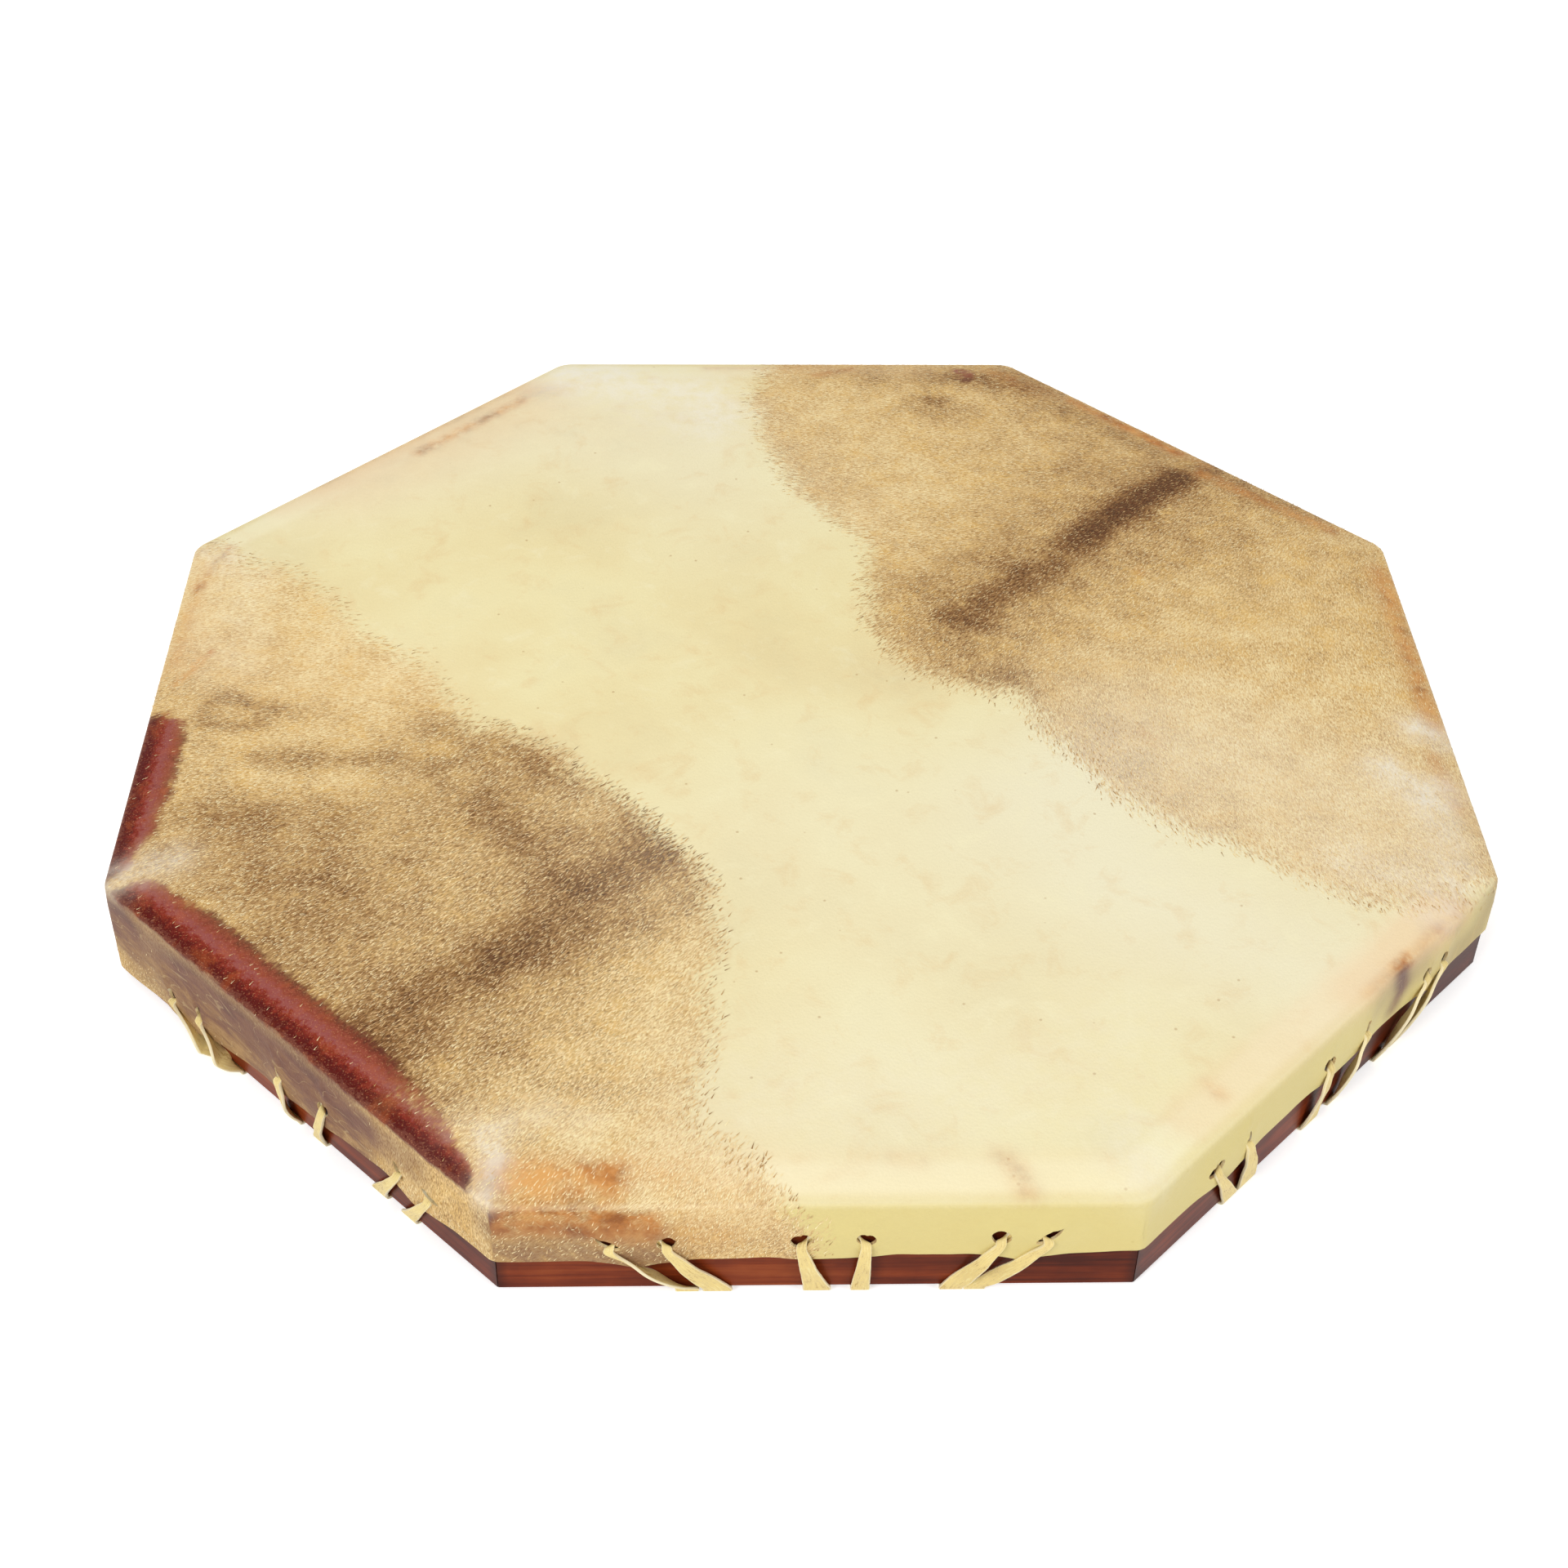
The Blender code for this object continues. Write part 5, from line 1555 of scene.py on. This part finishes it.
def lace_route(side, end, hole, edge, gate, hand):
    """Stations of one lace end as s, n and z, from the knot out to the skirt and in at its hole."""
    half = LACE_THICKNESS / 2
    wide = LACE_FOOT / 2 * FOOT_SHARES[end]
    neck = LACE_NECK / 2
    gathered = LACE_GATHERED / 2 * GATHERED_SQUEEZE
    slot = (end - 2.5) * BUNDLE_PITCH
    gate_n = -BOARD_THICKNESS - LACE_THICKNESS
    low = half + LACE_FLOOR_GAP
    hole_z = hole_height(side, hole) - LACE_PULL
    lip_z = max(skirt_edge_at(side, hole) - TONGUE_DROP - CLEARANCE, 1.5 * MM)
    outside = TIGHT_SKIRT + LACE_BULGE + CLEARANCE + half
    behind = CLEARANCE + half

    def spoke(n):
        return (slot, n, SPOKE_HEIGHT), (0, 0, gathered), (half * 0.9, 0, 0)

    stations = [
        spoke(KNOT_RADIUS - APOTHEM), spoke(-GATHER_DEPTH - 50 * MM),
        spoke(-GATHER_DEPTH - 6 * MM), spoke(-GATHER_DEPTH),
    ]
    for share in (0.25, 0.5, 0.75, 1.0):
        turn = share * pi / 2
        centre = (
            slot + (gate - slot) * share,
            -GATHER_DEPTH + (gate_n + GATHER_DEPTH) * share,
            SPOKE_HEIGHT + (low - SPOKE_HEIGHT) * share,
        )
        across = (gathered * sin(turn), 0, gathered * cos(turn))
        outer = (half * cos(turn), 0, -half * sin(turn))
        stations.append((centre, across, outer))
    middle_wide = (gathered + wide) / 2
    stations.append((((gate + edge) / 2, gate_n / 2, low), (middle_wide, 0, 0), (0, 0, -half)))
    stations.append(((edge, -1.2 * MM, low), (wide, 0, 0), (0, 0, -half)))
    stations.append(((edge, 0.5 * MM, low + 0.3 * MM), (wide, 0, 0), (0, half * 0.7, -half * 0.7)))

    bottom = np.array((edge, behind + 0.2 * MM, min(2.2 * MM, lip_z - 0.6 * MM)))
    lip_share = (hole_z - lip_z) / (hole_z - half)
    lip = np.array((hole + (edge - hole) * lip_share, outside, lip_z))
    top = np.array((hole, outside, hole_z - 1.0 * MM))
    twist = radians(LACE_TWISTS[SIDE_LIKENESS[side]][end])
    for share, twist_share in ((0.0, 0.0), (0.3, 0.6), (0.65, 1.0), (1.0, 0.9)):
        centre = bottom + (lip - bottom) * share
        half_width = wide + (neck - wide) * (centre[2] - bottom[2]) / (top[2] - bottom[2])
        across, outer = turned((half_width, 0, 0), (0, half, 0), twist * twist_share)
        stations.append((centre, across, outer))
    middle = (lip + top) / 2
    half_width = wide + (neck - wide) * (middle[2] - bottom[2]) / (top[2] - bottom[2])
    across, outer = turned((half_width, 0, 0), (0, half, 0), twist * 0.5)
    stations.append((middle, across, outer))
    stations.append((top, (neck, 0, 0), (0, half, half * 0.25)))
    stations.append((
        (hole + hand * 0.3 * MM, outside - 1.15 * MM, hole_z + 0.15 * MM),
        (neck * 0.93, 0, neck * 0.25 * hand), (0, half * 0.4, half * 0.9)))
    stations.append((
        (hole + hand * 1.7 * MM, behind + 0.25 * MM, hole_z + 0.2 * MM),
        (neck * 0.35, 0, neck * 0.9 * hand), (-hand * half * 0.5, -half * 0.6, half * 0.5)))
    stations.append((
        (hole + hand * 3.6 * MM, behind, hole_z + 0.1 * MM),
        (0, 0, hand * neck), (0, -half, 0)))
    return [tuple(np.array(part, float) for part in station) for station in stations]


def world_stations(side, stations):
    outward, rightward = (np.append(way, 0) for way in side_directions(side))
    up = np.array((0, 0, 1.0))

    def turn(vector):
        s, n, z = vector
        return rightward * s + outward * n + up * z

    return [
        (turn(centre) + outward * APOTHEM, turn(across), turn(outer))
        for centre, across, outer in stations
    ]


def make_lace(side, pair, ends, material):
    """One thong, out from the knot, through both holes of a pair and back to the knot."""
    first = lace_route(side, 2 * pair, *ends[2 * pair], 1)
    second = lace_route(side, 2 * pair + 1, *ends[2 * pair + 1], -1)
    back = [(centre, -across, outer) for centre, across, outer in second][::-1]
    stations = smooth_stations(first + back, 6)
    name = "thong_" + SIDE_NAMES[side] + "_" + str(pair + 1)
    mesh = strap_mesh(name, world_stations(side, stations), 3.7 * side + 1.3 * pair)
    lace = new_piece(name, mesh, material)
    finish_piece(lace, "rawhide_lace", "lace_" + SIDE_NAMES[side] + "_" + str(pair + 1))
    return lace


def winding_tree(material):
    """Sweep a flat strap along a path whose points say which way the strap faces."""
    tree, given = new_tree("wind strap", (
        ("Path", "Geometry"), ("Strap width", "Float"), ("Strap thickness", "Float")), "Winding")
    width, thickness = given["Strap width"], given["Strap thickness"]
    facing = add_node(
        tree, "GeometryNodeInputNamedAttribute", {"Name": "facing"}, data_type="FLOAT_VECTOR")
    path = add_node(tree, "GeometryNodeMeshToCurve", {"Mesh": given["Path"]})
    path = add_node(
        tree, "GeometryNodeSetCurveNormal", {"Curve": path, "Normal": facing}, mode="FREE")
    outline = add_node(tree, "GeometryNodeCurvePrimitiveQuadrilateral", {
        "Width": thickness, "Height": width})
    rounding = add_node(tree, MATH, (thickness, 0.3), operation="MULTIPLY")
    outline = add_node(tree, "GeometryNodeFilletCurve", {
        "Curve": outline, "Radius": rounding, "Count": 1}, mode="POLY")
    where = add_node(tree, "GeometryNodeInputPosition")
    height = add_node(tree, "ShaderNodeSeparateXYZ", (where,), "Y")
    half_width = add_node(tree, MATH, (width, 0.5), operation="MULTIPLY")
    share = add_node(tree, MATH, (height, half_width), operation="DIVIDE")
    outline = add_node(tree, "GeometryNodeStoreNamedAttribute", {
        "Geometry": outline, "Name": "across_strap", "Value": share}, data_type="FLOAT",
        domain="POINT")
    swept = add_node(tree, "GeometryNodeCurveToMesh", {
        "Curve": path, "Profile Curve": outline, "Fill Caps": True})
    return end_tree(tree, swept, material)


def path_mesh(name, points, facing):
    """A line of points for a winding, each with the direction that the strap faces there."""
    mesh = bpy.data.meshes.new(name)
    mesh.from_pydata([tuple(p) for p in points], [(i, i + 1) for i in range(len(points) - 1)], [])
    steps = np.linalg.norm(np.diff(np.array(points), axis=0), axis=1)
    set_attribute(mesh, "along_strap", np.concatenate(((0,), np.cumsum(steps))))
    set_attribute(mesh, "facing", [tuple(f) for f in facing], "FLOAT_VECTOR")
    return mesh


def wind(name, points, facing, tree, width, slot, node, extra=None):
    """A wound strap as a finished piece, with a filling inside it where one is given."""
    mesh = run_tree(name, path_mesh(name, points, facing), tree, {
        "Strap width": width, "Strap thickness": WRAP_THICKNESS})
    if extra:
        bm = bmesh.new()
        bm.from_mesh(mesh)
        bm.from_mesh(extra)
        bm.to_mesh(mesh)
        bm.free()
    point_outward(mesh)
    smooth_by_angle(mesh, 40)
    finish_piece(link(bpy.data.objects.new(name, mesh)), slot, node)


def rounded(angle, half_width, half_height):
    """A place on a rounded oblong."""
    a, b = cos(angle), sin(angle)
    x = half_width * abs(a) ** WRAP_SQUARENESS * (1 if a >= 0 else -1)
    z = half_height * abs(b) ** WRAP_SQUARENESS * (1 if b >= 0 else -1)
    return x, z


def make_binding(side, tree, sizes):
    """Lace wound round a bundle from the gathering to the knot, turn against turn."""
    length = BINDING_START - BINDING_END
    turns = (length - sizes.wrap_width) / (sizes.wrap_width * WRAP_PITCH)
    half_width = BINDING_HALF_WIDTH - WRAP_THICKNESS / 2 - WRAP_MARGIN
    half_height = BINDING_HALF_HEIGHT - WRAP_THICKNESS / 2 - WRAP_MARGIN
    count = int(turns * WRAP_POINTS)
    points, facing = [], []
    centre = side_point(side, 0, 0, 0)
    for step in range(count + 1):
        angle = 2 * pi * step / WRAP_POINTS
        inset = WRAP_UNEVENNESS * noise.noise(Vector((step * 0.3, side, 0)))
        s, z = rounded(angle, half_width + inset, half_height + inset)
        ahead_s, ahead_z = rounded(angle + WRAP_LOOK, half_width, half_height)
        back_s, back_z = rounded(angle - WRAP_LOOK, half_width, half_height)
        waver = WRAP_WAVER * noise.noise(Vector((step / WRAP_POINTS, 5.0, side)))
        out = BINDING_START - sizes.wrap_width / 2 - (length - sizes.wrap_width) * step / count
        points.append(side_point(side, s, out - APOTHEM + waver, SPOKE_HEIGHT + z))
        away = side_point(side, ahead_z - back_z, 0, -(ahead_s - back_s)) - centre
        facing.append(away.normalized())
    name = SIDE_NAMES[side]
    wind("winding_" + name, points, facing, tree, sizes.wrap_width, "wound_lace", "binding_" + name)


def knot_core():
    """The bundles' ends inside the knot: a low round cushion, made of rings from pole to pole."""
    vertices = []
    for ring in range(KNOT_CORE_RINGS + 1):
        lift = pi * ring / KNOT_CORE_RINGS - pi / 2
        for step in range(KNOT_POINTS):
            turn = 2 * pi * step / KNOT_POINTS
            radius = KNOT_CORE_RADIUS * cos(lift)
            height = SPOKE_HEIGHT + KNOT_CORE_HALF_HEIGHT * sin(lift)
            vertices.append((radius * cos(turn), radius * sin(turn), height))
    faces = [
        (ring * KNOT_POINTS + step, ring * KNOT_POINTS + (step + 1) % KNOT_POINTS,
         (ring + 1) * KNOT_POINTS + (step + 1) % KNOT_POINTS, (ring + 1) * KNOT_POINTS + step)
        for ring in range(KNOT_CORE_RINGS) for step in range(KNOT_POINTS)
    ]
    mesh = bpy.data.meshes.new("knot core")
    mesh.from_pydata(vertices, [], faces)
    bm = bmesh.new()
    bm.from_mesh(mesh)
    bmesh.ops.remove_doubles(bm, verts=bm.verts, dist=POLE_GAP)
    bm.to_mesh(mesh)
    bm.free()
    set_attribute(mesh, "along_strap", np.zeros(len(mesh.vertices)))
    set_attribute(mesh, "across_strap", np.zeros(len(mesh.vertices)))
    return mesh


def woven_place(angle, radius, rim, depth, hand):
    """A place on the upper or lower face of the knot, and the way that the strap faces there."""
    z = hand * (depth - KNOT_WEAVE) - KNOT_WEAVE * cos(KNOT_WEAVES * angle)
    tilt = radians(10) + radians(14) * (radius / rim) ** 3
    place = (radius * cos(angle), radius * sin(angle), SPOKE_HEIGHT + z)
    return place, (cos(angle) * sin(tilt), sin(angle) * sin(tilt), hand * cos(tilt))


def make_knot(tree, sizes):
    """A strap woven out from the middle, round the rim and back over the far side."""
    width = sizes.wrap_width * 0.86
    rim = KNOT_RADIUS - WRAP_THICKNESS / 2 - KNOT_MARGIN
    depth = (KNOT_HIGH.z - KNOT_LOW.z) / 2 - WRAP_THICKNESS / 2 - KNOT_MARGIN
    last = rim - KNOT_TURN_RADIUS
    pitch = width * 0.9
    count = int((last - KNOT_START) / pitch * KNOT_POINTS)
    climb = int(1.2 * KNOT_POINTS)

    def turn_to(step):
        return 2 * pi * step / KNOT_POINTS

    stations = []
    for step in range(count):
        radius = KNOT_START + pitch * step / KNOT_POINTS
        stations.append(woven_place(turn_to(step), radius, rim, depth, -1))
    start = turn_to(count)
    for step in range(climb + 1):
        angle = start + turn_to(step)
        turn = -pi / 2 * KNOT_RIM_SHARE + pi * KNOT_RIM_SHARE * step / climb
        radius = last + (rim - last) * cos(turn)
        z = SPOKE_HEIGHT + (depth - 0.3 * MM) * sin(turn)
        facing = (cos(angle) * cos(turn), sin(angle) * cos(turn), sin(turn))
        stations.append(((radius * cos(angle), radius * sin(angle), z), facing))
    start += turn_to(climb)
    for step in range(1, count):
        radius = last - pitch * step / KNOT_POINTS
        stations.append(woven_place(start + turn_to(step), radius, rim, depth, 1))
    points, facing = zip(*stations)
    wind("woven_knot", points, facing, tree, width, "wound_lace", "centre_knot", knot_core())


# Boards


def wood_material(name, azimuth, lift, colours):
    """Softwood board with a wiped red-brown stain under thin varnish: fine grain along the
    board, darker at the mitred ends and darker towards one end."""
    material, tree, shader = new_material(name)
    place = add_node(tree, TEXTURE_PLACE, out="Object")
    board = add_node(tree, MAPPING, {"Vector": place, "Rotation": (0, 0, -azimuth - pi / 2)})
    drawn = add_node(tree, MAPPING, {"Vector": board, "Scale": (0.035, 1.0, 1.0)})
    grain = add_node(tree, NOISE, {
        "Vector": drawn, "Scale": per(1.6 * MM), "Detail": 5.0, "Roughness": 0.62,
        "Distortion": 0.3})
    rings = add_node(tree, NOISE, {"Vector": drawn, "Scale": per(7 * MM), "Detail": 2.0})
    wiped = add_node(tree, NOISE, {
        "Vector": board, "Scale": per(34 * MM), "Detail": 4.0, "Roughness": 0.6})
    tone = add_node(tree, MATH, (grain, rings), operation="ADD")
    tone = add_node(tree, MATH, (tone, wiped), operation="ADD")
    tone = add_node(tree, MATH, (tone, 1 / 3), operation="MULTIPLY")
    along = add_node(tree, "ShaderNodeSeparateXYZ", (board,))
    # Each board shifted by its lift, and darker towards one end
    board_lift_and_end_darkening = add_node(tree, RANGE, (along, -10 * MM, 70 * MM, lift, lift - 0.09))
    tone = add_node(tree, MATH, (tone, board_lift_and_end_darkening), operation="ADD")
    colour = add_node(tree, RAMP, (tone,), stops=(
        (0.36, "#45180c"), (0.45, "#642611"), (0.53, colours.stained_wood), (0.66, "#9c4e26")))
    from_middle = add_node(tree, MATH, (along,), operation="ABSOLUTE")
    joint = add_node(tree, RANGE, (
        from_middle, HALF_SIDE - 3.5 * MM, HALF_SIDE - 0.5 * MM, 0.0, 0.62))
    colour = lay_colours(tree, colour, (("#2c100c", joint),))
    bump = add_node(tree, BUMP, {"Strength": 0.3, "Distance": 0.15 * MM, "Height": grain})
    set_inputs(tree, shader, {
        "Base Color": colour, "Normal": bump, "Roughness": 0.36, "Specular IOR Level": 0.1})
    return material


def slip_material():
    """Unstained pine of the splines, raw and matt."""
    material, tree, shader = new_material("raw pine")
    place = add_node(tree, TEXTURE_PLACE, out="Object")
    drawn = add_node(tree, MAPPING, {"Vector": place, "Scale": (1.0, 1.0, 0.06)})
    grain = add_node(tree, NOISE, {"Vector": drawn, "Scale": per(0.9 * MM), "Detail": 4.0})
    colour = add_node(tree, RAMP, (grain,), stops=((0.35, "#8d5f3c"), (0.65, "#c39a66")))
    set_inputs(tree, shader, {"Base Color": colour, "Roughness": 0.6})
    return material


def dress_node(name, material):
    """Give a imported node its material. Its mesh stays as it is."""
    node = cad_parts[name]
    for slot in node.material_slots:
        slot.material = material
    if not node.material_slots:
        node.data.materials.append(material)


# Stage


def rays_that_see_white(tree):
    """1 for the camera's rays, and for those off gloss and through glass, which see white."""
    rays = add_node(tree, "ShaderNodeLightPath").node.outputs
    seen = add_node(
        tree, MATH, (rays["Is Camera Ray"], rays["Is Glossy Ray"]), operation="MAXIMUM")
    return add_node(tree, MATH, (seen, rays["Is Transmission Ray"]), operation="MAXIMUM")


def floor_material():
    """White seamless paper that the camera sees as white, with the drum's soft shadow on it."""
    material, tree, shader = new_material("white paper")
    lift = add_node(tree, MATH, (rays_that_see_white(tree), 0.5), operation="MULTIPLY")
    set_inputs(tree, shader, {
        "Base Color": "#f4f4f4", "Roughness": 0.9, "Specular IOR Level": 0.0,
        "Emission Color": "#ffffff", "Emission Strength": lift})
    return material


def make_floor():
    """A wide sheet of paper under the drum."""
    bm = bmesh.new()
    bmesh.ops.create_grid(bm, x_segments=8, y_segments=8, size=FLOOR_REACH)
    mesh = bpy.data.meshes.new("paper floor")
    bm.to_mesh(mesh)
    bm.free()
    floor = new_piece("paper_floor", mesh, floor_material())


def make_sky(strength):
    """Even light from all round, which the camera and reflections see as white."""
    world = bpy.data.worlds.new("white room")
    bpy.context.scene.world = world
    world.use_nodes = True
    tree = world.node_tree
    level = add_node(tree, RANGE, (rays_that_see_white(tree), 0.0, 1.0, strength, 1.0))
    set_inputs(tree, tree.nodes["Background"], {"Color": "#ffffff", "Strength": level})


def make_lamp(name, place, width, power):
    """A round softbox that faces the middle of the drum."""
    lamp = bpy.data.lights.new(name, "AREA")
    lamp.shape = "DISK"
    lamp.size = width
    lamp.energy = power
    made = link(bpy.data.objects.new(name, lamp))
    made.location = place
    made.rotation_euler = (-Vector(place)).to_track_quat("-Z", "Y").to_euler()


def make_camera(studio):
    """A camera at the viewing angle of the photograph."""
    pitch, yaw, roll = studio.camera_pitch, studio.camera_yaw, studio.camera_roll
    ahead = Vector((sin(yaw) * cos(pitch), cos(yaw) * cos(pitch), -sin(pitch)))
    level = Vector((cos(yaw), -sin(yaw), 0))
    above = level.cross(ahead)
    right = level * cos(roll) + above * sin(roll)
    up = above * cos(roll) - level * sin(roll)
    lens = bpy.data.cameras.new("studio camera")
    lens.lens = studio.lens
    lens.sensor_width = SENSOR_WIDTH
    lens.clip_start = 0.01
    camera = link(bpy.data.objects.new("studio_camera", lens))
    turn = Matrix((right, up, -ahead)).transposed().to_4x4()
    camera.matrix_world = Matrix.Translation(studio.camera_place) @ turn
    bpy.context.scene.camera = camera


# Operators, one for each piece or group of like pieces


class DRUM_OT_set_stage(bpy.types.Operator):
    """Lay the white floor, and place the lights and the camera"""

    bl_idname = "drum.set_stage"
    bl_label = "Set the stage"

    def execute(self, context):
        studio = context.scene.drum_studio
        context.scene.view_settings.view_transform = "Standard"
        make_floor()
        make_sky(studio.sky_strength)
        for name, place, width, setting in SOFTBOXES:
            make_lamp(name, place, width, getattr(studio, setting))
        make_camera(studio)
        return {"FINISHED"}


class DRUM_OT_finish_boards(bpy.types.Operator):
    """Stain the eight boards, and leave the slips across their mitres raw"""

    bl_idname = "drum.finish_boards"
    bl_label = "Finish the boards"

    def execute(self, context):
        colours = context.scene.drum_colours
        slip = slip_material()
        for side, name in enumerate(SIDE_NAMES):
            stained = wood_material(
                "stained pine " + name, side_azimuth(side), BOARD_LIFTS[side], colours)
            dress_node("board_" + name, stained)
            dress_node("spline_" + name + "_to_" + SIDE_NAMES[(side + 1) % SIDE_COUNT], slip)
        return {"FINISHED"}


class DRUM_OT_stretch_hide(bpy.types.Operator):
    """Stretch the rawhide over the frame, and plant what was left of its hair"""

    bl_idname = "drum.stretch_hide"
    bl_label = "Stretch the hide"

    def execute(self, context):
        sizes = context.scene.drum_sizes
        colours = context.scene.drum_colours
        sheet = build_hide(sizes)
        hair = hair_material(colours)
        tree = hair_tree(hair)
        tufts = {}
        for name, left in (("hair_left", True), ("hair_right", False)):
            part = hair_part(sheet, left)
            density = sizes.hair_count / covered_area(part)
            tufts[name] = run_tree(name, part, tree, {
                "Tufts per square metre": density, "Tuft length": sizes.hair_length,
                "Tuft width": sizes.hair_width, "Seed": 21 if left else 34})
            map_tones(tufts[name])
            tufts[name].shade_flat()
        carrier = link(bpy.data.objects.new("hide carrier", sheet))
        wall = carrier.modifiers.new("hide thickness", "SOLIDIFY")
        wall.thickness = HIDE_THICKNESS
        wall.offset = -1.0
        wall.material_offset = 1
        wall.material_offset_rim = 2
        for material in (rawhide_material(colours), flesh_side_material(), cut_edge_material()):
            sheet.materials.append(material)
        mesh = evaluated_mesh(carrier)
        smooth_by_angle(mesh, 50)
        hide = link(bpy.data.objects.new("stretched_hide", mesh))
        finish_piece(hide, "rawhide", "rawhide_head")
        for name, mesh in tufts.items():
            piece = new_piece(name, mesh, hair)
            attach(piece, "root")
        return {"FINISHED"}


class DRUM_OT_run_laces(bpy.types.Operator):
    """Run the twenty-four thongs between the skirt and the knot"""

    bl_idname = "drum.run_laces"
    bl_label = "Run the laces"

    def execute(self, context):
        colours = context.scene.drum_colours
        material = lace_material("rawhide thong", colours.lace, "#c6a45c")
        for side in range(SIDE_COUNT):
            ends = lace_ends(side)
            for pair in range(3):
                make_lace(side, pair, ends, material)
        return {"FINISHED"}


class DRUM_OT_wind_bindings(bpy.types.Operator):
    """Wind a lace round each bundle, and weave the knot that they meet in"""

    bl_idname = "drum.wind_bindings"
    bl_label = "Wind the bindings and the knot"

    def execute(self, context):
        sizes = context.scene.drum_sizes
        material = lace_material("wound rawhide", context.scene.drum_colours.binding, "#a07a40")
        tree = winding_tree(material)
        for side in range(SIDE_COUNT):
            make_binding(side, tree, sizes)
        make_knot(tree, sizes)
        return {"FINISHED"}


class DRUM_PT_finish(bpy.types.Panel):
    """Steps that dress the drum, in their order"""

    bl_idname = "DRUM_PT_finish"
    bl_label = "Frame Drum"
    bl_space_type = "VIEW_3D"
    bl_region_type = "UI"
    bl_category = "Drum"

    def draw(self, context):
        for step in STEPS:
            self.layout.operator(step.bl_idname, text=step.bl_label)
        for group in (context.scene.drum_sizes, context.scene.drum_colours, context.scene.drum_studio):
            box = self.layout.box()
            for name in group.__annotations__:
                box.prop(group, name)


GROUPS = {"drum_sizes": DrumSizes, "drum_colours": DrumColours, "drum_studio": StudioSettings}
STEPS = (
    DRUM_OT_set_stage, DRUM_OT_finish_boards, DRUM_OT_stretch_hide, DRUM_OT_run_laces,
    DRUM_OT_wind_bindings,
)


def register():
    for name, group in GROUPS.items():
        bpy.utils.register_class(group)
        setattr(bpy.types.Scene, name, PointerProperty(type=group))
    for step in STEPS:
        bpy.utils.register_class(step)
    bpy.utils.register_class(DRUM_PT_finish)


def unregister():
    bpy.utils.unregister_class(DRUM_PT_finish)
    for step in reversed(STEPS):
        bpy.utils.unregister_class(step)
    for name, group in GROUPS.items():
        delattr(bpy.types.Scene, name)
        bpy.utils.unregister_class(group)


def main():
    register()
    bpy.ops.drum.set_stage()
    bpy.ops.drum.finish_boards()
    bpy.ops.drum.stretch_hide()
    bpy.ops.drum.run_laces()
    bpy.ops.drum.wind_bindings()


if __name__ == "__main__":
    main()
